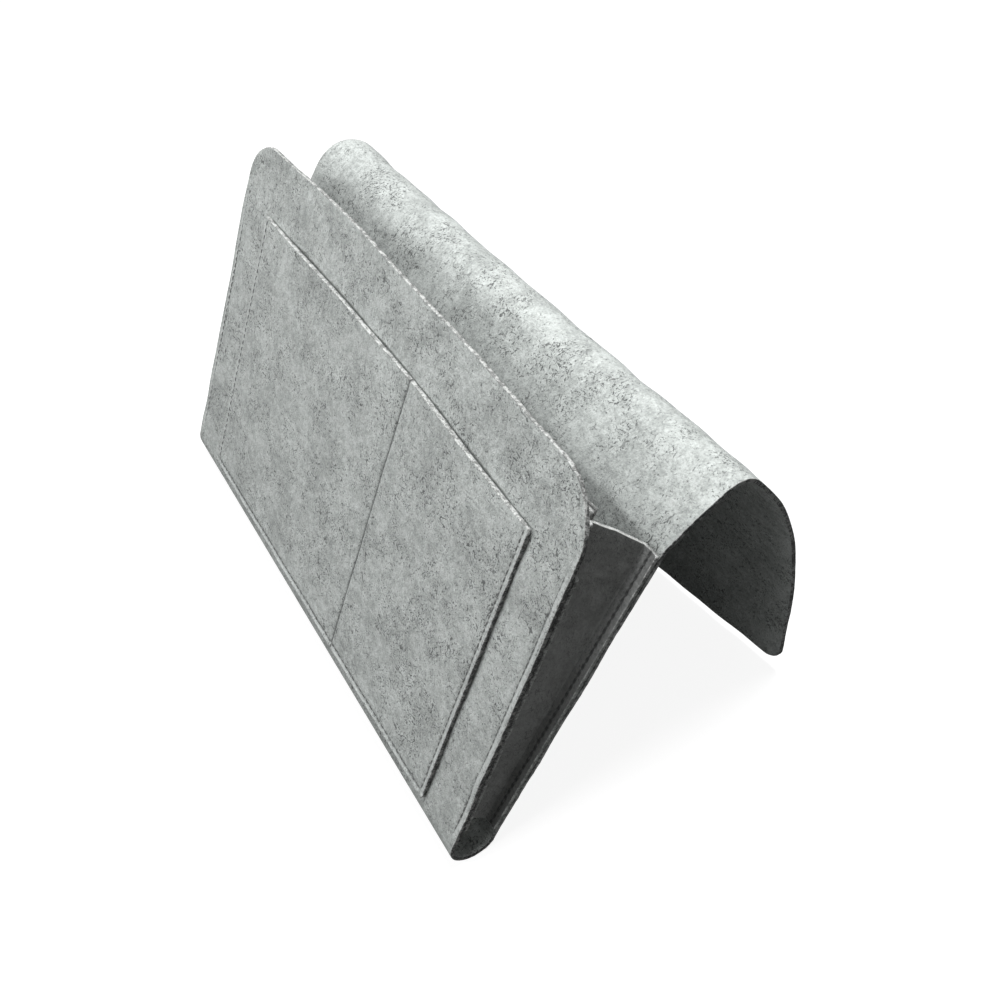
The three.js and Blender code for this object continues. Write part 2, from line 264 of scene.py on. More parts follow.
@dataclass
class Sheet:
    """A sheet of felt as a grid of rows and columns.

    Attributes:
        middle: Places of the middle surface.
        normal: Unit normals, along row direction times column direction.
        above: Height of the face on the normal's side.
        below: Height of the other face, counted along the normal too.
        cut: Place on the flat cut.
        press: How far sewing presses the felt, or below 0 the strength of painted shade.
        butted: Whether the first and the last row butt against the next stretch and aren't cut edges.
        under: Press of the lower face, where it differs.
        edge_shade: Strength of the painted shade on the cut edge where it faces the strip's ends.
    """

    middle: Array
    normal: Array
    above: Array
    below: Array
    cut: Array
    press: Array
    butted: tuple[bool, bool] = (False, False)
    under: Array | None = None
    edge_shade: Array | float = 0.0

    def solid(self, edge: CutEdge) -> MeshData:
        """Closes the sheet: two faces joined by the rings of its cut edge.

        A ring point is the rim point, raised between the two faces by the edge's outline and moved outwards,
        which is the rim's own direction times the normal.

        Args:
            edge: The raw edge.

        Returns:
            The closed sheet.
        """
        rows, columns = self.middle.shape[:2]
        index = np.arange(rows * columns).reshape(rows, columns)
        rim = np.concatenate([index[:-1, 0], index[-1, :-1], index[:0:-1, -1], index[0, :0:-1]])
        flat = self.middle.reshape(-1, 3)
        normal = self.normal.reshape(-1, 3)
        above = self.above.reshape(-1)
        below = self.below.reshape(-1)
        outward = self._outward().reshape(-1, 3)[rim]
        height, reach = edge.outline()
        rng = np.random.default_rng(edge.seed)
        shag = 1.0 + edge.shag * rng.standard_normal((edge.bands, len(rim))) * reach[:, None]
        level = 0.5 * (1.0 + height)[:, None]
        lifted = below[rim] + level * (above[rim] - below[rim])
        stand = edge.depth * reach[:, None] * shag
        rings = flat[rim] + lifted[..., None] * normal[rim] + stand[..., None] * outward
        cut = self.cut.reshape(-1, 2)
        rim_cut = np.broadcast_to(cut[rim], (edge.bands, len(rim), 2))
        ring_cut = np.concatenate([rim_cut, lifted[..., None]], axis=-1)
        points = [flat + above[:, None] * normal, rings.reshape(-1, 3), flat + below[:, None] * normal]
        cuts = [np.column_stack([cut, above]), ring_cut.reshape(-1, 3), np.column_stack([cut, below])]
        press = self.press.reshape(-1)
        under = press if self.under is None else self.under.reshape(-1)
        # Cut edges that face the strip's ends get painted shade.
        edge_shade = np.broadcast_to(self.edge_shade, self.press.shape).reshape(-1)[rim] * np.abs(outward[:, 0])
        # The lower face's rim gets a painted highlight above 0 and painted shade below 0.
        band = press[rim] - edge_shade + edge.painted_rim_shading * (1.0 - level) ** 2
        presses = [press, band.reshape(-1), under]
        return MeshData(
            points=np.concatenate(points),
            cut=np.concatenate(cuts),
            press=np.concatenate(presses),
            creases=self._creases(index, rim, edge.bands),
            **self._faces(index, rim, edge.bands),
        )

    def _outward(self) -> Array:
        """Directions that leave the sheet in its own surface, at the rim only.

        Returns:
            Grid of directions, with zeros inside the rim.
        """
        out = np.zeros_like(self.middle)
        down = np.gradient(self.middle, axis=0)
        across = np.gradient(self.middle, axis=1)
        first, last = self.butted
        if not first:
            out[0] -= unit(np.cross(across[0], self.normal[0]))
        if not last:
            out[-1] += unit(np.cross(across[-1], self.normal[-1]))
        out[:, 0] += unit(np.cross(down[:, 0], self.normal[:, 0]))
        out[:, -1] -= unit(np.cross(down[:, -1], self.normal[:, -1]))
        length = np.linalg.norm(out, axis=-1, keepdims=True)
        return out / np.maximum(length, 1.0)

    @staticmethod
    def _faces(index: Array, rim: Array, bands: int) -> dict[str, Array]:
        """Face lists of the two faces and the rings between them, all counter-clockwise from outside.

        Args:
            index: Point numbers of the upper face's grid.
            rim: Point numbers round its rim.
            bands: Rings between the two faces.

        Returns:
            Faces and their material numbers.
        """
        count = index.size
        corners = [index[:-1, :-1], index[1:, :-1], index[1:, 1:], index[:-1, 1:]]
        quads = np.stack(corners, axis=-1).reshape(-1, 4)
        far = count + bands * len(rim)
        middle = count + np.arange(bands * len(rim)).reshape(bands, len(rim))
        rings = np.concatenate([rim[None], middle, rim[None] + far])
        ahead = np.roll(rings, -1, axis=1)
        band = np.stack([rings[:-1], rings[1:], ahead[1:], ahead[:-1]], axis=-1).reshape(-1, 4)
        faces = np.concatenate([quads, band, quads[:, ::-1] + far])
        finish = np.full(len(faces), Face.FELT)
        finish[len(quads) : len(quads) + len(band)] = Face.EDGE
        return {"faces": faces, "finish": finish}

    def _creases(self, index: Array, rim: Array, bands: int) -> list[Array]:
        """Point groups round each butted end, which keep its flat cap out of the faces' shading.

        Args:
            index: Point numbers of the upper face.
            rim: Point numbers round its rim.
            bands: Rings between the faces.

        Returns:
            Groups of point numbers.
        """
        count = index.size
        far = count + bands * len(rim)
        groups = []
        for butted, row in zip(self.butted, (0, -1)):
            if not butted:
                continue
            groups += [index[row], index[row] + far]
            for corner in (index[row, 0], index[row, -1]):
                place = int(np.flatnonzero(rim == corner)[0])
                ring = count + place + len(rim) * np.arange(bands)
                groups.append(np.concatenate([[corner], ring, [corner + far]]))
        return groups


def unit(vectors: Array) -> Array:
    """The vectors at length 1."""
    return vectors / np.maximum(np.linalg.norm(vectors, axis=-1, keepdims=True), 1e-12)


def grid_normals(middle: Array) -> Array:
    """Unit normals of a grid of places: its row direction times its column direction."""
    return unit(np.cross(np.gradient(middle, axis=0), np.gradient(middle, axis=1)))


# The strip and how it stands


class Stretch(IntEnum):
    """Stretches of the strip, in order. A strip coordinate is a stretch plus the share of its length."""

    FRONT = 0
    FOLD = 1
    BACK = 2
    OVER = 3


class Bends(NamedTuple):
    """Bend values of the strip at places across its width, with angles in radians."""

    lean: Array
    knee: Array
    start: Array
    length: Array
    turn: Array
    droop: Array


class Course(NamedTuple):
    """Places on the strip's middle surface in the panel frame, with its normal in the YZ plane."""

    y: Array
    z: Array
    normal_y: Array
    normal_z: Array

    def off(self, height: Array | float) -> tuple[Array, Array]:
        """Places at a height above the middle surface, along the normal."""
        return self.y + self.normal_y * height, self.z + self.normal_z * height


@dataclass(frozen=True)
class Arch:
    """A cut edge that rises in its middle and drops towards both ends.

    Attributes:
        rise: Height of the middle above the plain edge.
        left: Drop towards the left end, and the distances from the middle where it begins and ends.
        right: The same towards the right end.
        fade: Power by which the arch fades out below the edge.
    """

    rise: float
    left: tuple[float, float, float]
    right: tuple[float, float, float]
    fade: int = 4

    def at(self, x: Array) -> Array:
        """Height of the edge above the plain edge: the rise, less a smooth step towards each end."""
        left, right = self.left, self.right
        return self.rise - left[0] * smooth(-x, *left[1:]) - right[0] * smooth(x, *right[1:])

    def lift(self, x: Array, share: Array) -> Array:
        """How far felt lies above its plain place, at a share of the way up to the edge."""
        return self.at(x) * share**self.fade


@dataclass(frozen=True)
class Strip:
    """The felt strip, from the front's top edge to the flap's tip. Pairs are values at its left and right.

    Attributes:
        back_length: The back's straight stretch, up to the gussets' tops.
        over_length: The rest of the strip, over the crest and down the flap.
        knee_deg: Turn to the rear just above the gussets, over the knee's length.
        crest_start: Where the crest's turn begins, counted from the back's end.
        arch: How the front's top edge is cut.
        march: Steps that sum the heading along the crest and the flap.
    """

    width: float = 0.320
    felt: float = 0.002
    front_height: float = 0.195
    front_corner: float = 0.027
    fold_radius: float = 0.012
    back_length: float = 0.1655
    over_length: float = 0.2045
    flap_corner: float = 0.009
    lean_deg: tuple[float, float] = (4.7, 7.2)
    knee_deg: tuple[float, float] = (10.0, 28.4)
    knee_length: float = 0.0042
    crest_start: tuple[float, float] = (0.0066, 0.0320)
    crest_length: tuple[float, float] = (0.0509, 0.0230)
    crest_turn_deg: tuple[float, float] = (114.0, 82.0)
    flap_droop_deg: tuple[float, float] = (36.3, 39.6)
    lift_power: float = 1.42
    stretch_gap: float = 0.0003
    arch: Arch = Arch(0.0020, (0.0055, 0.040, 0.160), (0.0018, 0.060, 0.160))
    march: int = 160

    @property
    def half(self) -> float:
        """Half of the width."""
        return self.width / 2.0

    @property
    def fold_length(self) -> float:
        """Length of the bottom fold's middle surface for half a turn."""
        return math.pi * (self.fold_radius - self.felt / 2.0)

    def bends(self, x: Array) -> Bends:
        """Bend values across the width: the lean is straight, and the rest follow a power of the share.

        Args:
            x: Places across the width.

        Returns:
            The bend values.
        """
        share = np.clip((np.asarray(x) + self.half) / self.width, 0.0, 1.0)
        lifted = share**self.lift_power
        return Bends(
            lean=np.radians(mix(self.lean_deg, share)),
            knee=np.radians(mix(self.knee_deg, lifted)),
            start=mix(self.crest_start, lifted),
            length=mix(self.crest_length, lifted),
            turn=np.radians(mix(self.crest_turn_deg, lifted)),
            droop=np.radians(mix(self.flap_droop_deg, lifted)),
        )

    def middle(self, x: Array) -> Array:
        """Distance from the back's end to the middle of the crest's turn."""
        bends = self.bends(x)
        return bends.start + bends.length / 2.0

    def course(self, x: Array, t: Array) -> Course:
        """The strip's middle surface, stretch by stretch.

        The front is a plane with an arched top edge, the fold an arc, the back a leaning plane, and the rest
        a curve whose heading turns at the knee, over the crest and along the flap.

        Args:
            x: Places across the width.
            t: Strip coordinates.

        Returns:
            Places and normals in the panel frame.
        """
        x, t = np.broadcast_arrays(np.asarray(x, float), np.asarray(t, float))
        bends = self.bends(x)
        which = np.clip(np.floor(t), 0, Stretch.OVER).astype(int)
        share = np.clip(t - which, 0.0, 1.0)
        middle = self.fold_radius - self.felt / 2.0
        front_z = self.front_height * (1.0 - share)
        front_z = front_z + self.arch.lift(x, front_z / self.front_height)
        front = Course(np.full_like(x, self.felt / 2.0), front_z, np.full_like(x, -1.0), np.zeros_like(x))
        angle = math.pi + share * (math.pi - bends.lean)
        cos, sin = np.cos(angle), np.sin(angle)
        fold = Course(self.fold_radius + middle * cos, middle * sin, cos, sin)
        rear_y, rear_z = np.cos(bends.lean), -np.sin(bends.lean)
        foot_y, foot_z = self.fold_radius + middle * rear_y, middle * rear_z
        run = self.back_length * share
        back = Course(foot_y + run * np.sin(bends.lean), foot_z + run * np.cos(bends.lean), rear_y, rear_z)
        root_y = foot_y + self.back_length * np.sin(bends.lean)
        root_z = foot_z + self.back_length * np.cos(bends.lean)
        over = self._over(root_y, root_z, bends, self.over_length * share)
        options = (front, fold, back, over)
        return Course(*[np.choose(which, [option[k] for option in options]) for k in range(4)])

    def _heading(self, bends: Bends, run: Array) -> Array:
        """Heading past the back: the lean, smooth turns at knee and crest, and the droop times 2u - u^2.

        Args:
            bends: Bend values.
            run: Distances from the back's end.

        Returns:
            Angles from straight up, towards the rear.
        """
        end = bends.start + bends.length
        flap = np.clip((run - end) / (self.over_length - end), 0.0, 1.0)
        knee = bends.knee * smooth(run, 0.0, self.knee_length)
        crest = bends.turn * smooth(run, bends.start, end)
        return bends.lean + knee + crest + bends.droop * (2.0 - flap) * flap

    def _over(self, root_y: Array, root_z: Array, bends: Bends, run: Array) -> Course:
        """The crest and the flap: the heading summed over short steps from the back's end.

        Args:
            root_y: The back's end, to the rear.
            root_z: The back's end, upwards.
            bends: Bend values.
            run: Distances from the back's end.

        Returns:
            Places and normals in the panel frame.
        """
        part = (np.arange(self.march) + 0.5) / self.march
        heading = self._heading(bends, np.multiply.outer(part, run))
        last = self._heading(bends, run)
        y = root_y + np.sin(heading).mean(axis=0) * run
        z = root_z + np.cos(heading).mean(axis=0) * run
        return Course(y, z, np.cos(last), -np.sin(last))

    def run(self, t: Array) -> Array:
        """Distance along the flat strip from the front's top edge.

        Args:
            t: Strip coordinates.

        Returns:
            Distances.
        """
        lengths = (self.front_height, self.fold_length, self.back_length, self.over_length)
        parts = [np.clip(t - stretch, 0.0, 1.0) * length for stretch, length in zip(Stretch, lengths)]
        return np.sum(parts, axis=0)


@dataclass(frozen=True)
class Stand:
    """Where the panel frame stands in the object's frame: pitched about X and then moved to its seat."""

    pitch: float
    seat_y: float
    seat_z: float

    @staticmethod
    def of(strip: Strip) -> "Stand":
        """The stand of the front panel: a plate of known height and thickness has one pitch for its box.

        Args:
            strip: The felt strip.

        Returns:
            The stand.
        """
        low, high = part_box("front_panel")
        foot = strip.stretch_gap / 2.0
        height = strip.front_height - foot
        deep, tall = high.y - low.y, high.z - low.z
        pitch = math.atan2(height * deep - strip.felt * tall, height * tall - strip.felt * deep)
        seat_y = low.y - foot * math.sin(pitch)
        seat_z = low.z + strip.felt * math.sin(pitch) - foot * math.cos(pitch)
        return Stand(pitch, seat_y, seat_z)

    def place(self, x: Array | float, y: Array | float, z: Array | float) -> Array:
        """Places in the object's frame: the turned directions plus the seat.

        Args:
            x: Places across.
            y: Places to the rear in the panel frame.
            z: Places up the front in the panel frame.

        Returns:
            Places in the object's frame.
        """
        x, y, z = np.broadcast_arrays(x, y, z)
        turned = self.turn(y, z)
        return np.stack([x, turned[..., 1] + self.seat_y, turned[..., 2] + self.seat_z], axis=-1)

    def turn(self, y: Array | float, z: Array | float) -> Array:
        """Directions in the object's frame: y' = y cos + z sin and z' = z cos - y sin of the pitch.

        Args:
            y: Rearward parts in the panel frame.
            z: Upward parts in the panel frame.

        Returns:
            Directions in the object's frame.
        """
        y, z = np.broadcast_arrays(np.asarray(y, float), np.asarray(z, float))
        cos, sin = math.cos(self.pitch), math.sin(self.pitch)
        return np.stack([np.zeros_like(y), y * cos + z * sin, z * cos - y * sin], axis=-1)


# Seams


@dataclass(frozen=True)
class Seam:
    """A lockstitch seam that draws the felt into a groove.

    Attributes:
        depth: Depth of the groove.
        width: Width of the groove on the side away from the edge.
        pitch: Length of one stitch with its gap.
        stitch: Length of one stitch.
        thread: Radius of the thread.
        dive: How far a stitch's ends go into the felt.
        shade: Strength of the painted shade beside the thread.
        seam_shade_width: Width of that painted shade line.
        pinch: How much of a stitch's cross-section is lost at its ends.
        girth: Length round a stitch on which its plies are laid out.
        rings: Points along one stitch.
        sides: Points round one stitch.
    """

    depth: float = 0.0005
    width: float = 0.0008
    pitch: float = 0.0040
    stitch: float = 0.0033
    thread: float = 0.00028
    dive: float = 0.0009
    shade: float = 1.5
    seam_shade_width: float = 0.00042
    pinch: float = 0.75
    girth: float = 0.002
    rings: int = 7
    sides: int = 6

    def groove(self, towards_edge: Array, shoulder: float) -> Array:
        """Depth share of the groove: a bell on the inner side and a long smooth slope up to the edge.

        Args:
            towards_edge: Signed distance from the seam, positive towards the felt's edge.
            shoulder: Distance from the seam to the edge.

        Returns:
            Shares from 0 to 1.
        """
        inner = np.exp(-((towards_edge / self.width) ** 2))
        outer = 1.0 - smooth(towards_edge, 0.0, shoulder)
        return np.where(towards_edge < 0.0, inner, outer)

    def seam_shade(self, across: Array) -> Array:
        """Painted shade on the felt beside the thread: a narrow bell."""
        return self.shade * np.exp(-((across / self.seam_shade_width) ** 2))

    def holes(self, along: Array) -> Array:
        """1 at each needle hole and 0 between two: half of 1 plus the cosine of the turns along the seam.

        Args:
            along: Distances along the seam.

        Returns:
            Shares from 0 to 1.
        """
        length = float(np.max(along))
        start = (length - int(length / self.pitch) * self.pitch) / 2.0
        return 0.5 + 0.5 * np.cos(2.0 * math.pi * (along - start) / self.pitch)

    def line(self, across: Array) -> Array:
        """Depth share of a seam far from any edge: a bell on both sides."""
        return np.exp(-((across / self.width) ** 2))

    def stitches(self, length: float, lay: Lay) -> MeshData:
        """A row of stitches, each a short tube that arches over the felt and dives in at both ends.

        The height along a stitch is 1 - s^4 of the share s from its middle, so only its ends drop.

        Args:
            length: Length of the seam.
            lay: Turns distance along, distance across and height into places.

        Returns:
            The stitches, as closed tubes.
        """
        count = max(1, int(length / self.pitch))
        start = (length - count * self.pitch) / 2.0
        centre = start + (np.arange(count) + 0.5) * self.pitch
        share = np.linspace(-1.0, 1.0, self.rings)
        turn = np.linspace(0.0, 2.0 * math.pi, self.sides, endpoint=False)
        along = centre[:, None, None] + share[None, :, None] * self.stitch / 2.0
        taper = np.sqrt(1.0 - self.pinch * share**4)
        rise = -self.dive * share**4
        round_x = np.cos(turn)[None, None] * self.thread * taper[None, :, None]
        round_z = np.sin(turn)[None, None] * self.thread * taper[None, :, None] + rise[None, :, None]
        along, round_x, round_z = np.broadcast_arrays(along, round_x, round_z)
        points = lay(along, round_x, round_z)
        girth = np.broadcast_to(turn, along.shape) / (2.0 * math.pi) * self.girth
        cut = np.stack([along, girth, round_z], axis=-1)
        faces = self._tubes(count)
        return MeshData(
            points=points.reshape(-1, 3),
            faces=faces,
            cut=cut.reshape(-1, 3),
            # Press sets how much painted shade the thread gets at the stitch's ends.
            press=np.broadcast_to(share[None, :, None] ** 4, along.shape).ravel(),
            finish=np.zeros(len(faces)),
        )

    def _tubes(self, count: int) -> Array:
        """Faces of all the tubes: their sides, and two quads that close each end of six points.

        Args:
            count: How many tubes there are.

        Returns:
            Four point numbers for each face.
        """
        index = np.arange(count * self.rings * self.sides).reshape(count, self.rings, self.sides)
        ahead = np.roll(index, -1, axis=2)
        sides = np.stack([index[:, :-1], ahead[:, :-1], ahead[:, 1:], index[:, 1:]], axis=-1).reshape(-1, 4)
        first, last = index[:, 0], index[:, -1]
        caps = [first[:, [3, 2, 1, 0]], first[:, [0, 5, 4, 3]], last[:, [0, 1, 2, 3]], last[:, [3, 4, 5, 0]]]
        return np.concatenate([sides, *caps])


# Shader expressions


class Value:
    """One socket of a shader, which Python expressions combine through Math nodes."""

    def __init__(self, graph: "Graph", socket: bpy.types.NodeSocket) -> None:
        """Keeps the graph and the socket."""
        self.graph = graph
        self.socket = socket

    def _math(self, operation: str, first: object, second: object) -> "Value":
        """A Math node of two inputs."""
        return self.graph.node("ShaderNodeMath", {"operation": operation}, {0: first, 1: second})

    def __add__(self, other: object) -> "Value":
        """Sum."""
        return self._math("ADD", self, other)

    def __radd__(self, other: object) -> "Value":
        """Sum, reflected."""
        return self._math("ADD", other, self)

    def __sub__(self, other: object) -> "Value":
        """Difference."""
        return self._math("SUBTRACT", self, other)

    def __rsub__(self, other: object) -> "Value":
        """Difference, reflected."""
        return self._math("SUBTRACT", other, self)

    def __mul__(self, other: object) -> "Value":
        """Product."""
        return self._math("MULTIPLY", self, other)

    def __rmul__(self, other: object) -> "Value":
        """Product, reflected."""
        return self._math("MULTIPLY", other, self)

    def __abs__(self) -> "Value":
        """Absolute value."""
        return self._math("ABSOLUTE", self, 0.0)

    def step(self, low: float, high: float) -> "Value":
        """Smooth step from 0 at low to 1 at high."""
        limits = {"Value": self, "From Min": low, "From Max": high, "To Min": 0.0, "To Max": 1.0}
        return self.graph.node("ShaderNodeMapRange", {"interpolation_type": "SMOOTHSTEP"}, limits)


class Graph:
    """A node tree under construction."""

    def __init__(self, tree: bpy.types.NodeTree) -> None:
        """Empties the tree."""
        self.tree = tree
        tree.nodes.clear()

    @staticmethod
    def of_material(name: str) -> tuple[bpy.types.Material, "Graph"]:
        """A new material.

        Args:
            name: Name of the material.

        Returns:
            The material and its empty node tree.
        """
        material = bpy.data.materials.new(name)
        material.use_nodes = True
        return material, Graph(material.node_tree)

    def node(
        self,
        kind: str,
        settings: dict[str, object] | None = None,
        inputs: dict[str | int, object] | None = None,
        output: str | int = 0,
    ) -> Value:
        """Adds a node, sets its settings, and then sets or links its inputs.

        Args:
            kind: Node type.
            settings: Node properties by name.
            inputs: Numbers, colours, vectors or values by socket name or number.
            output: Which output to return.

        Returns:
            The chosen output.
        """
        node = self.tree.nodes.new(kind)
        for name, setting in (settings or {}).items():
            setattr(node, name, setting)
        for key, given in (inputs or {}).items():
            socket = node.inputs[key]
            if isinstance(given, Value):
                self.tree.links.new(given.socket, socket)
            else:
                socket.default_value = given
        if not node.outputs:
            return Value(self, node.inputs[0])
        return Value(self, node.outputs[output])

    def noise(self, place: Value, scale: float, detail: float = 2.0, rough: float = 0.5) -> Value:
        """Noise from about 0 to 1 at a scale of features per metre."""
        inputs = {"Vector": place, "Scale": scale, "Detail": detail, "Roughness": rough}
        return self.node("ShaderNodeTexNoise", None, inputs)

    def moved(self, place: Value, shift: Point, stretch: Point = (1.0, 1.0, 1.0)) -> Value:
        """A place stretched and then moved."""
        settings = {"operation": "MULTIPLY_ADD"}
        return self.node("ShaderNodeVectorMath", settings, {0: place, 1: stretch, 2: shift})

    def warped(self, place: Value, scale: float, reach: float) -> Value:
        """A place pushed about by coloured noise, up to half the reach each way.

        Args:
            place: The place.
            scale: Features of the noise per metre.
            reach: How far the noise spreads places.

        Returns:
            The pushed place.
        """
        inputs = {"Vector": place, "Scale": scale, "Detail": 2.0}
        push = self.node("ShaderNodeTexNoise", None, inputs, "Color")
        centred = self.node("ShaderNodeVectorMath", {"operation": "SUBTRACT"}, {0: push, 1: (0.5, 0.5, 0.5)})
        scaled = self.node("ShaderNodeVectorMath", {"operation": "SCALE"}, {0: centred, "Scale": reach})
        return self.node("ShaderNodeVectorMath", {"operation": "ADD"}, {0: place, 1: scaled})

    def mixed(self, first: object, second: object, share: object) -> Value:
        """A colour between two colours."""
        settings = {"data_type": "RGBA", "blend_type": "MIX"}
        return self.node("ShaderNodeMix", settings, {0: share, 6: first, 7: second}, 2)

    def bump(self, height: Value, strength: float, distance: float) -> Value:
        """A normal that follows a height."""
        inputs = {"Strength": strength, "Distance": distance, "Height": height}
        return self.node("ShaderNodeBump", None, inputs)

    def surface(self, inputs: dict[str | int, object]) -> None:
        """Ends the tree in a Principled shader of these inputs."""
        shader = self.node("ShaderNodeBsdfPrincipled", None, inputs)
        self.node("ShaderNodeOutputMaterial", None, {"Surface": shader})

    def attribute(self, name: str, output: str) -> Value:
        """An attribute of the piece's own mesh."""
        return self.node("ShaderNodeAttribute", {"attribute_name": name}, None, output)


def rgba(color: Color) -> tuple[float, float, float, float]:
    """A colour with full alpha."""
    return (*color, 1.0)


# Finishes


@dataclass(frozen=True)
class FeltFinish:
    """Heather grey pressed felt: light wool with cloudy mottling, dark hairs and a fuzzy, matte surface.

    Attributes:
        name: Name of the material.
        pale: Colour of the light wool.
        grey: Colour of the mixed wool between.
        hair: Colour of the dark hairs.
        pressed: Colour of felt that sewing has pressed smooth, partly a painted highlight.
        painted_shade: Colour of painted shade, on felt that light hardly reaches.
        hairs: How strongly the hairs show.
        mottle: How strongly the mottling shows.
        relief: Strength of the bump.
        relief_depth: Depth of the bump.
        sheen: Weight of the fuzz at grazing angles.
        shift: Where on the wool this finish is cut from.
    """

    name: str
    pale: Color = (0.558, 0.588, 0.572)
    grey: Color = (0.311, 0.329, 0.319)
    hair: Color = (0.095, 0.100, 0.098)
    pressed: Color = (0.545, 0.568, 0.558)
    painted_shade: Color = (0.040, 0.042, 0.041)
    hairs: float = 0.92
    mottle: float = 1.0
    relief: float = 0.65
    relief_depth: float = 0.0007
    sheen: float = 0.10
    shift: Point = (0.0, 0.0, 0.0)

    def dress(self) -> bpy.types.Material:
        """Builds the material.

        Mottling mixes the two wools by noise at four scales. A hair is a contour line of warped noise, kept
        only where a second noise is high, which breaks the lines into curved threads. A third noise gathers
        the hairs in clusters.

        Returns:
            The material.
        """
        material, graph = Graph.of_material(self.name)
        place = graph.moved(graph.attribute("cut_place", "Vector"), self.shift)
        press = graph.attribute("press", "Fac")
        cloud = graph.noise(graph.warped(place, 35.0, 0.020), 38.0, 3.0, 0.60)
        cluster = graph.noise(graph.moved(place, (0.36, 0.52, 0.14)), 62.0, 2.0, 0.60).step(0.36, 0.66)
        blotch = graph.noise(graph.warped(place, 180.0, 0.004), 260.0, 3.0, 0.62)
        fleck = graph.noise(graph.warped(place, 600.0, 0.0012), 880.0, 2.0, 0.6)
        fuzz = graph.noise(place, 2100.0, 2.0, 0.7)
        wool = (0.34 * blotch + 0.26 * fleck + 0.26 * cloud + 0.14 * fuzz).step(0.38, 0.62)
        color = graph.mixed(rgba(self.pale), rgba(self.grey), wool * self.mottle)
        grain = graph.moved(place, (0.4, 0.7, 0.2), (1.0, 0.55, 1.0))
        specks = graph.noise(graph.warped(grain, 900.0, 0.0010), 1400.0, 1.0).step(0.55, 0.75)
        short_hair = self._hairs(graph, place, (0.83, 0.41, 0.23), 300.0, 0.045, 0.51)
        fine_hair = self._hairs(graph, place, (0.57, 0.93, 0.61), 620.0, 0.075, 0.52)
        long_hair = self._hairs(graph, place, (0.29, 0.17, 0.77), 140.0, 0.021, 0.48)
        hairs = 0.8 * short_hair + 0.9 * fine_hair + 0.9 * specks + 0.7 * long_hair
        hairs = (hairs * (0.55 + 0.95 * cluster)).step(0.0, 1.3) * self.hairs
        color = graph.mixed(color, rgba(self.hair), hairs)
        # Felt is lighter where sewing presses it, partly a painted highlight, and takes painted shade where
        # the press is below 0.
        color = graph.mixed(color, rgba(self.pressed), press.step(0.0, 1.0) * 0.75)
        color = graph.mixed(color, rgba(self.painted_shade), (0.0 - press).step(0.0, 0.8) * 0.9)
        height = 0.55 * blotch + 0.45 * fleck + 0.30 * fuzz - 0.25 * hairs
        bump = graph.bump(height, self.relief, self.relief_depth)
        inputs = {
            "Base Color": color,
            "Roughness": 0.90 + 0.10 * wool,
            "Normal": bump,
            "IOR": 1.40,
            "Specular IOR Level": 0.25,
            "Sheen Weight": self.sheen,
            "Sheen Roughness": 0.55,
        }
        graph.surface(inputs)
        return material

    @staticmethod
    def _hairs(graph: Graph, place: Value, shift: Point, scale: float, width: float, rarity: float) -> Value:
        """Short curved hairs: contour lines of warped noise where a second noise passes a threshold.

        Args:
            graph: The node tree.
            place: Place on the wool.
            shift: Keeps one layer of hairs apart from the next.
            scale: Bends per metre.
            width: Half width of a hair, in noise units.
            rarity: Threshold of the second noise.

        Returns:
            How much hair shows, from 0 to 1.
        """
        here = graph.moved(place, shift)
        bent = graph.warped(here, scale * 1.7, 0.35 / scale)
        line = 1.0 - abs(graph.noise(bent, scale, 0.0) - 0.5).step(width * 0.3, width)
        kept = graph.noise(graph.moved(here, (0.2, 0.6, 0.4)), scale * 1.9, 1.0).step(rarity, rarity + 0.10)
        return line * kept


@dataclass(frozen=True)
class EdgeFinish:
    """The raw cut edge of felt: the same wool seen in layers, paler and rougher.

    Attributes:
        name: Name of the material.
        pale: Colour of the light layers.
        dark: Colour of the dark layers.
        deep: Colour of painted shade on an edge that light hardly reaches.
        bright: Colour of a painted highlight on an edge's rim.
        relief: Strength of the bump.
        relief_depth: Depth of the bump.
    """

    name: str
    pale: Color = (0.560, 0.574, 0.560)
    dark: Color = (0.200, 0.206, 0.200)
    deep: Color = (0.030, 0.031, 0.030)
    bright: Color = (0.800, 0.820, 0.800)
    relief: float = 0.9
    relief_depth: float = 0.0010

    def dress(self) -> bpy.types.Material:
        """Builds the material: layers of wool from noise stretched along the edge.

        Returns:
            The material.
        """
        material, graph = Graph.of_material(self.name)
        place = graph.attribute("cut_place", "Vector")
        layers = graph.noise(graph.warped(place, 500.0, 0.0016), 700.0, 3.0, 0.65)
        tufts = graph.noise(graph.moved(place, (0.3, 0.1, 0.7)), 1500.0, 2.0, 0.6)
        breaks = graph.noise(graph.moved(place, (0.8, 0.5, 0.1)), 210.0, 2.0, 0.6)
        wool = (0.40 * layers + 0.25 * tufts + 0.35 * breaks).step(0.43, 0.56)
        press = graph.attribute("press", "Fac")
        color = graph.mixed(rgba(self.pale), rgba(self.dark), wool)
        # Painted highlight where the press is above 0, painted shade where it is below 0.
        color = graph.mixed(color, rgba(self.bright), press.step(0.0, 1.0))
        color = graph.mixed(color, rgba(self.deep), (0.0 - press).step(0.0, 0.8) * (0.55 + 0.45 * wool))
        height = 0.6 * layers + 0.4 * tufts
        bump = graph.bump(height, self.relief, self.relief_depth)
        inputs = {
            "Base Color": color,
            "Roughness": 0.92 + 0.08 * wool,
            "Normal": bump,
            "IOR": 1.40,
            "Specular IOR Level": 0.2,
            "Sheen Weight": 0.25,
            "Sheen Roughness": 0.5,
        }
        graph.surface(inputs)
        return material


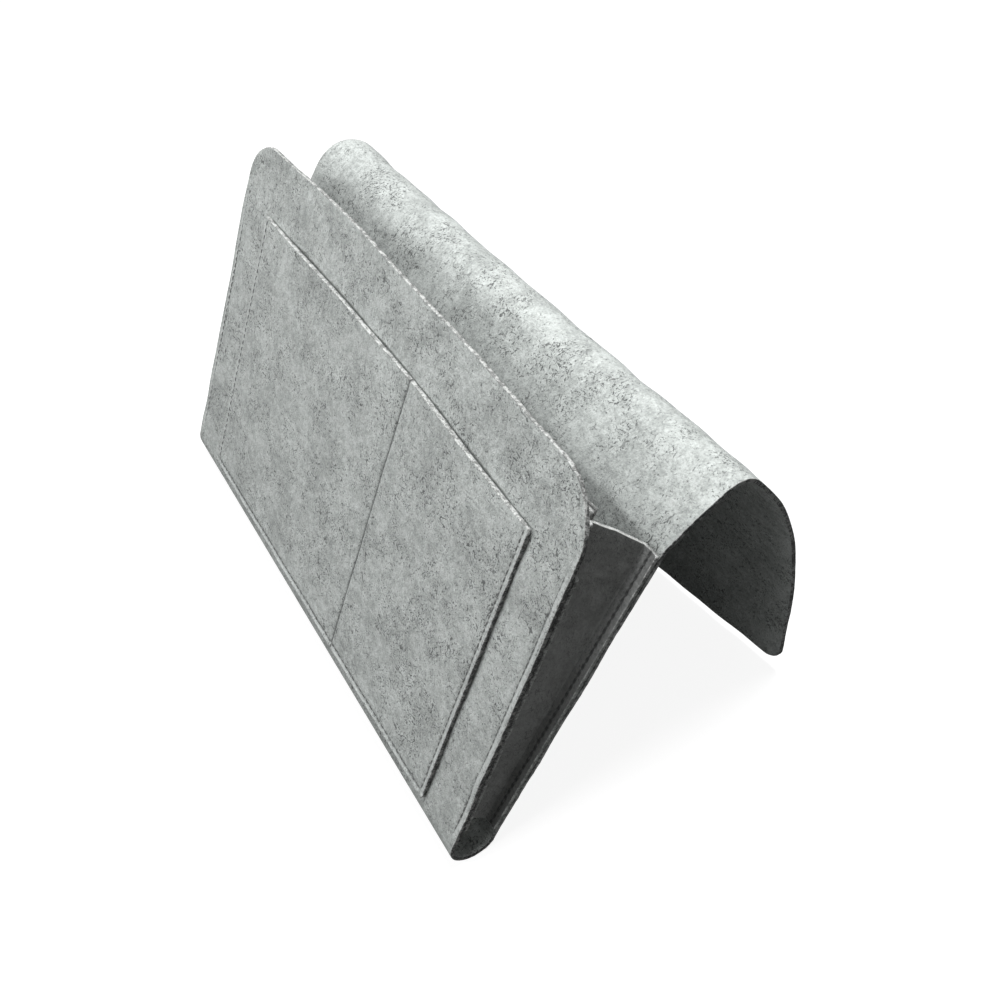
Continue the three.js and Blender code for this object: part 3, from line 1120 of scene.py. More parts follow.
@dataclass(frozen=True)
class ThreadFinish:
    """Grey polyester thread with its twist, with painted shade where a stitch dives into its needle hole.

    Attributes:
        name: Name of the material.
        light: Colour on top of the plies.
        dark: Colour between the plies, painted shade in the twist.
        hole: Colour of the painted shade at the needle holes.
        twist: How fast the plies pass along, round and out of the thread, in radians per metre.
        relief: Strength of the bump.
        relief_depth: Depth of the bump.
    """

    name: str
    light: Color = (0.210, 0.220, 0.215)
    dark: Color = (0.120, 0.125, 0.122)
    hole: Color = (0.025, 0.026, 0.025)
    twist: Point = (9000.0, 3142.0, 0.0)
    relief: float = 0.6
    relief_depth: float = 0.0001

    def dress(self) -> bpy.types.Material:
        """Builds the material: plies that run slantwise round the thread.

        Returns:
            The material.
        """
        material, graph = Graph.of_material(self.name)
        place = graph.attribute("cut_place", "Vector")
        settings = {"operation": "DOT_PRODUCT"}
        slant = graph.node("ShaderNodeVectorMath", settings, {0: place, 1: self.twist}, "Value")
        ply = graph.node("ShaderNodeMath", {"operation": "SINE"}, {0: slant}) * 0.5 + 0.5
        lint = graph.noise(place, 2500.0, 2.0, 0.6)
        color = graph.mixed(rgba(self.dark), rgba(self.light), ply * 0.7 + lint * 0.3)
        # Painted shade at each stitch's ends, where it dives into the felt.
        color = graph.mixed(color, rgba(self.hole), graph.attribute("press", "Fac"))
        bump = graph.bump(ply, self.relief, self.relief_depth)
        inputs = {"Base Color": color, "Roughness": 0.60 + 0.15 * lint, "Normal": bump, "Sheen Weight": 0.1}
        graph.surface(inputs)
        return material


@dataclass
class Finishes:
    """All the materials of the pocket, built once: felt and cut edge of each cloth, and the threads, with
    darker copies of the felt and the thread as painted shade.
    """

    felt: list[bpy.types.Material]
    gusset: list[bpy.types.Material]
    thread: list[bpy.types.Material]
    painted_shade_thread: list[bpy.types.Material]

    @staticmethod
    def dressed() -> "Finishes":
        """Builds every material.

        Returns:
            The materials.
        """
        edge = EdgeFinish("felt_cut_edge").dress()
        gusset_edge = EdgeFinish("gusset_cut_edge").dress()
        # The gussets' felt is the same wool painted darker, as painted shade on the pocket's ends.
        gusset = FeltFinish(
            "gusset_felt",
            pale=(0.360, 0.368, 0.362),
            grey=(0.235, 0.240, 0.235),
            pressed=(0.380, 0.388, 0.380),
            hairs=0.55,
            shift=(1.3, 0.4, 0.2),
        )
        # A darker copy of the thread: painted shade on the needle threads inside the back seams.
        shaded = ThreadFinish("shaded_thread", (0.075, 0.078, 0.076), (0.040, 0.042, 0.041))
        return Finishes(
            felt=[FeltFinish("heather_felt").dress(), edge],
            gusset=[gusset.dress(), gusset_edge],
            thread=[ThreadFinish("grey_thread").dress()],
            painted_shade_thread=[shaded.dress()],
        )


# Sub-assemblies


# Distances from a seam of the close rows and columns beside it
SEAM_SPREAD = (-0.0020, -0.0012, -0.0008, -0.0004, 0.0, 0.0005, 0.0011, 0.0019, 0.0026)


@dataclass(frozen=True)
class SeamLayout:
    """Where the gussets' seams run on the panels.

    Attributes:
        inset: Distance of a seam from the strip's end.
        foot: Where the back's seams begin, up the back.
        foot_step: How much higher the gussets begin on the front.
        front_drop: How far the gussets end below the front's top edge.
        front_rise: Where the front's seams begin, up the front.
        front_end_drop: How far those seams end below the front's top edge.
        fade: Length over which a groove fades out.
    """

    inset: float = 0.0035
    foot: float = 0.007
    foot_step: float = 0.005
    front_drop: float = 0.0145
    front_rise: float = 0.009
    front_end_drop: float = 0.037
    fade: float = 0.004


@dataclass
class FeltStrip:
    """The strip's three pieces: front with fold, back with half of the crest, and the rest with the flap.

    Attributes:
        mouth_rows: How far the close rows behind the patch's top edge reach, mouth_step apart.
        crest_power: Power that draws rows to the crest's start, and flap_power to the flap's.
        join: How far the front piece reaches up the back.
        bend_head: Where the bend starts past the back's end, and bend_tail how far it goes down the flap.
        bend_clear: Room between a bend and the line where two pieces meet.
        bend_rise: Heading of the crest's first half in the panel frame, and bend_over of its second half.
        wave: Height of the felt's unevenness, from wave_seed and over wave_lengths.
        mouth_shade: Strength of the painted shade on the inner face of the back and crest, in the pocket's
            mouth, which fades out over mouth_reach past the back's end.
        end_edge_shade: Strength of the painted shade on the cut edges of front and flap.
    """

    strip: Strip
    stand: Stand
    seam: Seam
    layout: SeamLayout
    patch: "PatchPocket"
    edge: CutEdge = CutEdge()
    step: float = 0.0023
    mouth_step: float = 0.0005
    mouth_rows: float = 0.005
    fold_rows: int = 28
    crest_rows: int = 34
    crest_power: float = 1.3
    flap_power: float = 1.2
    corner_rows: int = 16
    tip_rows: int = 9
    join: float = 0.002
    bend_head: float = 0.003
    bend_tail: float = 0.004
    bend_clear: float = 0.0005
    bend_rise: Point = (0.0, 0.60, 0.80)
    bend_over: Point = (0.0, 0.99, -0.12)
    wave: float = 0.00022
    wave_seed: int = 11
    wave_lengths: tuple[float, float] = (0.018, 0.090)
    mouth_shade: float = 0.28
    mouth_reach: tuple[float, float] = (0.002, 0.024)
    end_edge_shade: float = 0.55

    def build(self, finishes: Finishes) -> list[bpy.types.Object]:
        """Args:
            finishes: The materials.

        Returns:
            The pieces.
        """
        front = self._front_sheet().solid(self.edge).make("felt_front", finishes.felt)
        back = self._back_sheet().solid(self.edge).make("felt_back", finishes.felt)
        flap = self._flap_sheet().solid(self.edge).make("felt_flap", finishes.felt)
        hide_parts("front_panel", "bottom_fold")
        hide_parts("back_panel")
        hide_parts("crest_bend", "flap")
        self._bend(front, back, flap)
        self._declare()
        return [front, back, flap]

    def _bend(self, front: bpy.types.Object, back: bpy.types.Object, flap: bpy.types.Object) -> None:
        """Works out where blends would run across each piece's joint, and bakes each piece's place into its
        mesh.

        Args:
            front: Front and fold.
            back: Back and half of the crest.
            flap: The rest.
        """
        strip, clear = self.strip, self.bend_clear
        fold_rear = (0.0, 2.0 * strip.fold_radius - strip.felt - clear, 0.0)
        fold_front = (0.0, strip.felt + clear, 0.0)
        self._point(*fold_rear)
        self._point(*fold_front)
        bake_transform(front)
        ends = np.array([-strip.half, strip.half])
        middle = strip.middle(ends)
        bends = strip.bends(ends)
        start, end = self._bend_ends(self.bend_rise, np.full(2, self.bend_head), middle, clear)
        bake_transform(back)
        tail = bends.start + bends.length + self.bend_tail
        start, end = self._bend_ends(self.bend_over, middle, tail, -clear)
        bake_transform(flap)

    def _bend_ends(self, heading: Point, begin: Array, finish: Array, slack: float) -> tuple[Point, Point]:
        """Start and end of a blend over half of the crest, along a heading slanted to follow its cone.

        Args:
            heading: Heading in the panel frame.
            begin: Where the half begins at the strip's two ends across, as distances from the back's end.
            finish: Where it finishes there.
            slack: How far the blend keeps off the middle of the crest, negative where it begins there.

        Returns:
            Start and end in the object's frame.
        """
        x = np.array([-self.strip.half, self.strip.half])
        first = self.strip.course(x, Stretch.OVER + begin / self.strip.over_length)
        last = self.strip.course(x, Stretch.OVER + finish / self.strip.over_length)
        reach_first = heading[1] * first.y + heading[2] * first.z
        reach_last = heading[1] * last.y + heading[2] * last.z
        slant = -0.5 * (np.diff(reach_first) + np.diff(reach_last))[0] / self.strip.width
        low, high = reach_first + slant * x, reach_last + slant * x
        margin = self.strip.felt / 4.0
        if slack < 0.0:
            low, high = low.max() + margin - slack, high.mean()
        else:
            low, high = low.mean(), high.min() - margin - slack
        way = np.array([slant, heading[1], heading[2]])
        way = way / np.dot(way, way)
        return self._point(*(way * low)), self._point(*(way * high))

    def _point(self, x: float, y: float, z: float) -> Point:
        """One place in the object's frame."""
        return tuple(float(value) for value in self.stand.place(x, y, z))

    def _declare(self) -> None:
        """Works out the flat lengths of the front piece and of the back piece, and keeps neither.
        """
        strip = self.strip
        middle = float(np.mean(strip.middle(np.linspace(-strip.half, strip.half, 9))))
        front_length = strip.front_height + strip.fold_length + self.join
        back_length = strip.back_length - self.join + middle

    def _columns(self) -> Array:
        """Shares of the half width at the grid's columns, closer beside the gussets' seams.

        Returns:
            Shares from -1 to 1.
        """
        rim = self.strip.half - self.edge.depth
        seam = self.strip.half - self.layout.inset
        right = marks(0.0, rim, self.step, seam, spread=SEAM_SPREAD)
        return np.concatenate([-right[:0:-1], right]) / rim

    def _front_sheet(self) -> Sheet:
        """The front's rows: along the corners' arcs, down the front, round the fold and up to the join.

        Returns:
            The sheet.
        """
        strip, rim = self.strip, self.edge.depth
        arc = np.linspace(math.pi / 2.0, 0.0, self.corner_rows)
        shoulder = strip.front_height - strip.front_corner
        corner_z = shoulder + (strip.front_corner - rim) * np.sin(arc)
        corner_half = strip.half - strip.front_corner + (strip.front_corner - rim) * np.cos(arc)
        mouth = np.arange(-self.mouth_rows, self.mouth_rows, self.mouth_step)
        straight = marks(0.0, shoulder, self.step, self.patch.top, spread=tuple(mouth))[-2::-1]
        fold = np.linspace(0.0, 1.0, self.fold_rows)[1:]
        t = np.concatenate([
            1.0 - corner_z / strip.front_height,
            1.0 - straight / strip.front_height,
            Stretch.FOLD + fold * (1.0 - 1e-9),
            Stretch.BACK + np.array([0.5, 1.0]) * self.join / strip.back_length,
        ])
        half = np.concatenate([corner_half, np.full(len(t) - len(arc), strip.half - rim)])
        x = np.multiply.outer(half, self._columns())
        return self._sheet(x, np.repeat(t[:, None], x.shape[1], axis=1), (False, True))

    def _back_sheet(self) -> Sheet:
        """The back's rows, up to the middle of the crest.

        Returns:
            The sheet.
        """
        strip = self.strip
        back = marks(self.join, strip.back_length, self.step)[:-1] / strip.back_length
        across = (strip.half - self.edge.depth) * self._columns()
        over = strip.middle(across) / strip.over_length
        rows = np.linspace(0.0, 1.0, self.crest_rows) ** self.crest_power
        up = np.repeat(Stretch.BACK + back[:, None], len(over), axis=1)
        t = np.concatenate([up, Stretch.OVER + np.outer(rows, over)])
        return self._sheet(np.repeat(across[None, :], len(t), axis=0), t, (True, True))

    def _flap_sheet(self) -> Sheet:
        """The flap's rows: from the crest's middle down to the tip, and along the tip corners' arcs.

        Returns:
            The sheet.
        """
        strip, rim = self.strip, self.edge.depth
        arc = np.linspace(0.0, math.pi / 2.0, self.tip_rows)[1:]
        corner = strip.over_length - strip.flap_corner
        down = np.linspace(0.0, 1.0, math.ceil(corner / self.step)) ** self.flap_power
        half = np.concatenate([
            np.full(len(down), strip.half - rim),
            strip.half - strip.flap_corner + (strip.flap_corner - rim) * np.cos(arc),
        ])
        x = np.multiply.outer(half, self._columns())
        first = strip.middle(x[: len(down)])
        tip = np.repeat(corner + (strip.flap_corner - rim) * np.sin(arc)[:, None], x.shape[1], axis=1)
        reach = np.concatenate([first + down[:, None] * (corner - first), tip])
        return self._sheet(x, Stretch.OVER + reach / strip.over_length, (True, False))

    def _sheet(self, x: Array, t: Array, butted: tuple[bool, bool]) -> Sheet:
        """Lays a grid of strip coordinates out in space, uneven and pressed along its seams.

        Args:
            x: Places across.
            t: Strip coordinates.
            butted: Whether the first and the last row butt against another piece.

        Returns:
            The sheet.
        """
        strip = self.strip
        course = strip.course(x, t)
        run = strip.run(t)
        press, tone = self._press(x, t)
        past = strip.over_length * (t - Stretch.OVER)
        calm = smooth(np.abs(t - Stretch.FOLD - 0.5), 0.45, 0.60)
        wave = self.wave * calm * ripple(x, run, self.wave_seed, *self.wave_lengths)
        normal = self.stand.turn(course.normal_y, course.normal_z)
        middle = self.stand.place(x, course.y, course.z) + wave[..., None] * normal
        groove = self.seam.depth * press
        return Sheet(
            middle=middle,
            normal=normal,
            above=strip.felt / 2.0 - groove,
            below=-strip.felt / 2.0 + 0.5 * groove,
            cut=np.stack([x, run], axis=-1),
            # Painted shade behind the patch's top edge, in the pocket's mouth and on the cut edges that face
            # the strip's ends.
            press=tone - self.patch.painted_shade(x, course.z) * (t < Stretch.FOLD),
            butted=butted,
            under=tone - self.mouth_shade * (t >= Stretch.BACK) * (1.0 - smooth(past, *self.mouth_reach)),
            edge_shade=self.end_edge_shade * ((t < Stretch.BACK) | (t >= Stretch.OVER)),
        )

    def _press(self, x: Array, t: Array) -> tuple[Array, Array]:
        """The gussets' seams on the front and on the back, faded out at their ends.

        Args:
            x: Places across.
            t: Strip coordinates.

        Returns:
            Shares of the groove's depth, and the press that the finish reads, with painted shade beside the
            threads.
        """
        strip, layout = self.strip, self.layout
        across = np.abs(x) - (strip.half - layout.inset)
        groove = self.seam.groove(across, layout.inset)
        z = strip.front_height * (1.0 - t)
        up = strip.back_length * (t - Stretch.BACK)
        front = self._between(z, layout.front_rise, strip.front_height - layout.front_end_drop)
        back = self._between(up, layout.foot, strip.back_length)
        shown = np.where(t < Stretch.FOLD, front, np.where(t >= Stretch.BACK, back, 0.0))
        return groove * shown, (groove - self.seam.seam_shade(across)) * shown

    def _between(self, value: Array, low: float, high: float) -> Array:
        """1 between two limits, faded out beyond them."""
        fade = self.layout.fade
        return smooth(value, low - fade, low) * (1.0 - smooth(value, high, high + fade))


@dataclass
class PatchPocket:
    """The felt patch on the front, open at its top, with its seam round three sides and its divider.

    Attributes:
        lift: How far the left mouth stands off the front, from lift_foot up.
        right_lift: The right mouth's share of that.
        gap_shade: Strength of the painted shade on the front in the gap behind the top edge, which fades out
            over shade upwards and over gap_shade_end inwards.
        puff: How far the felt swells between its seams: puff_mean of it even, puff_wave of it uneven.
        divider_groove: Depth of the divider's groove as a share of the seam's.
        cut_from: Where on the wool the patch is cut from.
        seam_shades: Strength of the painted shade lines beside the left, right, bottom and divider threads.
        edge_shade: Strength of the painted shade on the cut edges.
    """

    strip: Strip
    stand: Stand
    seam: Seam
    felt: float = 0.002
    gap: float = 0.0003
    left_margin: float = 0.0325
    right_margin: float = 0.027
    top_margin: float = 0.0345
    bottom_rise: float = 0.0035
    right_pocket: float = 0.0995
    seam_inset: float = 0.00295
    corner: float = 0.0015
    corner_rows: int = 4
    lift: float = 0.0010
    arch: Arch = Arch(0.0030, (0.0037, 0.030, 0.130), (0.0031, 0.040, 0.135))
    shade: float = 0.0006
    gap_shade: float = 0.4
    gap_shade_end: float = 0.004
    lift_foot: float = 0.070
    right_lift: float = 0.7
    puff: float = 0.0005
    puff_mean: float = 0.5
    puff_wave: float = 0.25
    puff_seed: int = 23
    puff_lengths: tuple[float, float] = (0.02, 0.08)
    puff_edge: float = 0.03
    divider_groove: float = 0.8
    step: float = 0.0023
    edge: CutEdge = CutEdge(seed=8)
    cut_from: tuple[float, float] = (0.71, 0.33)
    seam_shades: tuple[float, float, float, float] = (0.62, 0.85, 0.80, 1.0)
    edge_shade: float = 0.55

    @property
    def left(self) -> float:
        """Left edge."""
        return -self.strip.half + self.left_margin

    @property
    def right(self) -> float:
        """Right edge."""
        return self.strip.half - self.right_margin

    @property
    def top(self) -> float:
        """Top edge."""
        return self.strip.front_height - self.top_margin

    @property
    def divider(self) -> float:
        """Where the divider's seam runs."""
        return self.right - self.right_pocket

    def build(self, finishes: Finishes) -> bpy.types.Object:
        """Args:
            finishes: The materials.

        Returns:
            The patch.
        """
        patch = self._sheet().solid(self.edge).make("felt_patch", finishes.felt)
        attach(patch, "front")
        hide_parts("patch_pocket")
        flat = (self.right - self.left, self.top - self.bottom_rise)
        return patch

    def lay(self, x: Array, z: Array, out: Array) -> Array:
        """Places at a distance out from the patch's middle surface, in the object's frame."""
        y = -self.gap - self.felt / 2.0 - self._lift(x, z) - out
        return self.stand.place(x, y, z + self.arch.lift(x, np.clip(z / self.top, 0.0, None)))

    def painted_shade(self, x: Array, z: Array) -> Array:
        """Strength of the painted shade on the front in the gap behind the patch's top edge."""
        inside = smooth(np.minimum(x - self.left, self.right - x), 0.0, self.gap_shade_end)
        return self.gap_shade * inside * (1.0 - smooth(z - self.top - self.arch.at(x), 0.0, self.shade))

    def _lift(self, x: Array, z: Array) -> Array:
        """How far each pocket's mouth stands off the front: sine squared across it, growing upwards.

        Args:
            x: Places across.
            z: Heights up the front.

        Returns:
            Distances from the front.
        """
        inner_left, inner_right = self.left + self.seam_inset, self.right - self.seam_inset
        left_share = np.clip((x - inner_left) / (self.divider - inner_left), 0.0, 1.0)
        right_share = np.clip((x - self.divider) / (inner_right - self.divider), 0.0, 1.0)
        across = np.sin(math.pi * left_share) ** 2 + self.right_lift * np.sin(math.pi * right_share) ** 2
        return across * (self.lift * smooth(z, self.lift_foot, self.top) ** 2)

    def _press(self, x: Array, z: Array) -> Array:
        """Grooves of the seam on three sides and of the divider.

        Args:
            x: Places across.
            z: Heights up the front.

        Returns:
            Shares of the groove's depth.
        """
        seam, inset = self.seam, self.seam_inset
        left = seam.groove(self.left + inset - x, inset)
        right = seam.groove(x - self.right + inset, inset)
        bottom = seam.groove(self.bottom_rise + inset - z, inset)
        divider = self.divider_groove * seam.line(x - self.divider)
        return np.maximum.reduce([left, right, bottom, divider])

    def _seam_shade(self, x: Array, z: Array) -> Array:
        """Painted shade lines beside the threads of the seam and of the divider.

        Args:
            x: Places across.
            z: Heights up the front.

        Returns:
            Strength of the painted shade.
        """
        bottom = z - self.bottom_rise - self.seam_inset
        lines = [x - self.left - self.seam_inset, x - self.right + self.seam_inset, bottom, x - self.divider]
        return np.maximum.reduce([seam_shade * self.seam.seam_shade(line) for seam_shade, line in zip(self.seam_shades, lines)])

    def _sheet(self) -> Sheet:
        """The patch's grid, with closer rows and columns at its seams.

        Returns:
            The sheet.
        """
        rim, inset = self.edge.depth, self.seam_inset
        half = (self.right - self.left) / 2.0
        centre = (self.right + self.left) / 2.0
        flip = tuple(-value for value in SEAM_SPREAD[::-1])
        inner = half - rim
        columns = np.unique(np.concatenate([
            marks(-inner, 0.0, self.step, -half + inset, spread=flip),
            marks(0.0, inner, self.step, half - inset, self.divider - centre, spread=SEAM_SPREAD),
        ]))
        arc = np.linspace(0.0, math.pi / 2.0, self.corner_rows)
        top = self.top - self.corner + (self.corner - rim) * np.sin(arc[::-1])
        bottom = self.bottom_rise + self.corner - (self.corner - rim) * np.sin(arc)
        low, high = self.bottom_rise + self.corner, self.top - self.corner
        straight = marks(low, high, self.step, self.bottom_rise + inset, spread=flip)
        z = np.concatenate([top, straight[-2:0:-1], bottom])
        arc_half = half - self.corner + (self.corner - rim) * np.cos(arc)
        row_half = np.concatenate([arc_half[::-1], np.full(len(straight) - 2, inner), arc_half])
        x = centre + np.multiply.outer(row_half / inner, columns)
        z = np.repeat(z[:, None], x.shape[1], axis=1)
        press = self._press(x, z)
        groove = self.seam.depth * press
        swell = self.puff_mean + self.puff_wave * ripple(x, z, self.puff_seed, *self.puff_lengths)
        soft = self.puff * (1.0 - press) * swell
        soft = soft * smooth(np.minimum(x - self.left, self.right - x), inset, self.puff_edge)
        return Sheet(
            middle=self.lay(x, z, np.zeros_like(x)),
            normal=np.broadcast_to(self.stand.turn(-1.0, 0.0), x.shape + (3,)),
            above=self.felt / 2.0 - groove + soft,
            below=np.full_like(x, -self.felt / 2.0),
            cut=np.stack([x + self.cut_from[0], z + self.cut_from[1]], axis=-1),
            # Painted shade lines beside the threads.
            press=press - self._seam_shade(x, z),
            edge_shade=self.edge_shade,
        )


@dataclass
class Gusset:
    """One gusset: a thin felt web between the panels, with two flanges turned outwards and sewn to them.

    Attributes:
        side: 1 at the right end and -1 at the left end.
        bow: How far the web bows inwards at its top.
        bend: Radius of the bend into the front flange, and back_bend into the back flange.
        flange_cut: Length over which the front flange is cut off.
        flange_shade: Strength of the painted shade on the back flange.
        flange_top: Level above which the front flange has no seam.
        groove_share: Depth of the seam's groove as a share of the seam's own.
        curl_in: Way of the curl inwards, and curl_turn and curl_out round and out again.
        curl_turn_share: How far it turns, as a share of half a turn.
        curl_points: Grid of the curl, along and up.
        squeeze: Length of the blend between the panels.
        free_width: Distance from the flanges where the web's waves are full.
        edge_shade: Strength of the painted shade on the front flange's cut edge.
    """

    strip: Strip
    stand: Stand
    seam: Seam
    layout: SeamLayout
    side: int
    bow: float
    felt: float = 0.002
    flange: float = 0.007
    gap: float = 0.0003
    bend: float = 0.0022
    back_bend: float = 0.0030
    flange_cut: float = 0.0008
    flange_shade: float = 0.34
    flange_top: float = 0.9
    groove_share: float = 0.6
    curl_in: float = 0.0044
    curl_turn: float = 0.0044
    curl_out: float = 0.0026
    curl_height: float = 0.013
    curl_rise: float = 0.002
    curl_start: float = 0.003
    curl_turn_share: float = 0.95
    curl_points: tuple[int, int] = (44, 12)
    curl_cut: float = 0.05
    # Painted shade on the whole curl.
    curl_shade: float = -0.2
    rows: int = 158
    flange_columns: int = 13
    bend_columns: int = 9
    web_columns: int = 26
    # The gusset's edges get a painted highlight at the lower face's rim, and the curl's edge gets painted
    # shade.
    edge: CutEdge = CutEdge(bands=7, painted_rim_shading=0.7, seed=13)
    curl_edge: CutEdge = CutEdge(bands=7, shag=0.45, painted_rim_shading=-0.4, seed=17)
    squeeze: float = 0.033
    squeeze_slant_deg: float = 3.5
    wave: float = 0.00025
    wave_seed: int = 31
    wave_lengths: tuple[float, float] = (0.012, 0.06)
    free_width: float = 0.006
    edge_shade: float = 0.55

    @property
    def name(self) -> str:
        """Which gusset this is."""
        return "right_gusset" if self.side > 0 else "left_gusset"

    def build(self, finishes: Finishes) -> bpy.types.Object:
        """Args:
            finishes: The materials.

        Returns:
            The gusset.
        """
        parts = [self._sheet().solid(self.edge), self._curl().solid(self.curl_edge)]
        piece = MeshData.joined(parts).make("felt_" + self.name, finishes.gusset)
        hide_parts(self.name)
        start, end = self._squeeze_ends()
        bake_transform(piece)
        foot, top = self._depth(np.array([0.0, 1.0]))
        width = 2.0 * self.flange + top
        height = self.strip.back_length - self.layout.foot
        area = height * (2.0 * self.flange + (foot + top) / 2.0)
        return piece

    def _squeeze_ends(self) -> tuple[Point, Point]:
        """The blend from the back to the front, slanted between the two panels.

        Returns:
            Start and end in the object's frame.
        """
        y, z = self._ends(np.array([self.side * self.strip.half]), np.ones(1))[1]
        slant = math.radians(self.squeeze_slant_deg)
        start = (0.0, float(y[0]) + self.felt / 2.0, float(z[0]))
        end = (0.0, start[1] - self.squeeze * math.cos(slant), start[2] + self.squeeze * math.sin(slant))
        return tuple(self.stand.place(*start)), tuple(self.stand.place(*end))

    def _ends(self, x: Array, level: Array) -> tuple[tuple[Array, Array], tuple[Array, Array]]:
        """Where the felt's middle meets the front and the back.

        Args:
            x: Places across.
            level: Levels from 0 at the foot to 1 at the top.

        Returns:
            Places y and z on the front, and on the back.
        """
        strip, layout = self.strip, self.layout
        foot = layout.foot + layout.foot_step
        front_z = foot + (strip.front_height - layout.front_drop - foot) * level
        front_y = np.full_like(front_z, strip.felt + self.gap + self.felt / 2.0)
        up = layout.foot + (strip.back_length - layout.foot) * level
        course = strip.course(x, Stretch.BACK + up / strip.back_length)
        back = course.off(-strip.felt / 2.0 - self.gap - self.felt / 2.0)
        return (front_y, front_z), back

    def _depth(self, level: Array) -> Array:
        """Distances between the panels at levels of the gusset."""
        front, back = self._ends(np.full_like(level, self.side * (self.strip.half - self.flange)), level)
        return np.hypot(back[0] - front[0], back[1] - front[1])

    def lay(self, x: Array, share: Array, level: Array) -> Array:
        """Places of the felt's middle: a straight way from the front to the back at each level.

        Args:
            x: Places across the pocket's width.
            share: Share of the way from the front to the back.
            level: Levels from 0 at the foot to 1 at the top.

        Returns:
            Places in the object's frame.
        """
        front, back = self._ends(x, level)
        y = front[0] + (back[0] - front[0]) * share
        z = front[1] + (back[1] - front[1]) * share
        return self.stand.place(x, y, z)

    def _sheet(self) -> Sheet:
        """The gusset's grid: rows are levels, columns go over the front flange, the web and the back flange.

        Each bend is a quarter circle between a flange and the web, and the web bows inwards as a parabola
        that grows with the level.

        Returns:
            The sheet.
        """
        level = self._levels()[:, None]
        depth = self._depth(level[:, 0])[:, None]
        out = np.linspace(0.0, 1.0, self.flange_columns)[None, :]
        turn = np.linspace(0.0, math.pi / 2.0, self.bend_columns)[None, 1:-1]
        way = np.linspace(0.0, 1.0, self.web_columns)[None, :]
        web_x = self.strip.half - self.flange - self.felt / 2.0
        rim = self.strip.half - self.edge.depth
        front_rim = self._front_rim(level, rim)
        knee, back_knee = web_x + self.bend, web_x + self.back_bend
        bow = self.bow * level * 4.0 * way * (1.0 - way)
        x = [
            front_rim + (knee - front_rim) * out,
            knee - self.bend * np.sin(turn) + 0.0 * level,
            web_x - bow,
            web_x + self.back_bend * (1.0 - np.cos(turn)) + 0.0 * level,
            back_knee + (rim - back_knee) * out + 0.0 * level,
        ]
        a = [
            0.0 * out + 0.0 * level,
            self.bend * (1.0 - np.cos(turn)) + 0.0 * level,
            self.bend + (depth - self.bend - self.back_bend) * way,
            depth - self.back_bend + self.back_bend * np.sin(turn),
            depth + 0.0 * out,
        ]
        x = np.concatenate(x, axis=1)
        a = np.concatenate(a, axis=1)
        level = np.broadcast_to(level, x.shape)
        middle = self.lay(self.side * x, a / depth, level)
        normal = grid_normals(middle)
        height = (self.strip.back_length - self.layout.foot) * level
        spread = np.linalg.norm(np.diff(middle, axis=1, prepend=middle[:, :1]), axis=-1)
        spread = np.cumsum(spread, axis=1)
        press, tone = self._press(x, a, depth, level)
        wave = self.wave * ripple(spread, height, self.wave_seed + self.side, *self.wave_lengths)
        free = smooth(np.minimum(a, depth - a), 0.0, self.free_width)
        middle = middle + (wave * free)[..., None] * normal
        groove = self.groove_share * self.seam.depth * press
        inward = np.sign(self.side)
        return Sheet(
            middle=middle,
            normal=normal,
            above=self.felt / 2.0 - groove * (inward < 0),
            below=-self.felt / 2.0 + groove * (inward > 0),
            cut=np.stack([spread, height], axis=-1),
            press=tone,
            edge_shade=self.edge_shade * (a < depth / 2.0) * (x > web_x + self.bend),
        )

    def _levels(self) -> Array:
        """Levels of the grid's rows, with two close rows where the front flange is cut off.

        Returns:
            Levels from 0 to 1.
        """
        strip, layout = self.strip, self.layout
        foot = layout.foot + layout.foot_step
        span = strip.front_height - layout.front_drop - foot
        cut = (strip.front_height - layout.front_end_drop - foot) / span
        return marks(0.0, 1.0, 1.0 / self.rows, cut, spread=(0.0, self.flange_cut / span))

    def _curl(self) -> Sheet:
        """The unsewn corner above the front flange: a band that runs inwards, turns round and runs out again.

        Seen from above its heading turns from straight inwards to nearly straight outwards by a smooth step.

        Returns:
            The sheet.
        """
        along, up = self.curl_points
        length = self.curl_in + self.curl_turn + self.curl_out
        run = np.linspace(0.0, length, along)
        turned = self.curl_turn_share * smooth(run, self.curl_in, self.curl_in + self.curl_turn)
        heading = math.pi * (1.0 - turned)
        step = np.diff(run, prepend=0.0)
        (front_y, top), _ = self._ends(np.array([self.strip.half]), np.ones(1))
        x = self.strip.half - self.flange - self.felt + np.cumsum(np.cos(heading) * step)
        y = front_y[0] + self.curl_start + np.cumsum(np.sin(heading) * step)
        z = top[0] + self.curl_rise - self.curl_height * np.linspace(1.0, 0.0, up)
        middle = self.stand.place(self.side * x[None, :], y[None, :], z[:, None])
        half = np.full(middle.shape[:2], self.felt / 2.0)
        cut = np.stack(np.broadcast_arrays(run[None, :] + self.curl_cut, z[:, None]), axis=-1)
        return Sheet(middle, grid_normals(middle), half, -half, cut, np.full_like(half, self.curl_shade))

    def _front_rim(self, level: Array, rim: float) -> Array:
        """Outer edge of the front flange: straight, then cut off square below the front's rounded corner.

        Args:
            level: Levels of the gusset.
            rim: Where the straight edge lies.

        Returns:
            Distances from the pocket's middle.
        """
        (_, z), _ = self._ends(np.full_like(level, self.strip.half), level)
        start = self.strip.front_height - self.layout.front_end_drop
        tucked = self.strip.half - self.flange + self.felt
        return rim + (tucked - rim) * smooth(z, start, start + self.flange_cut)

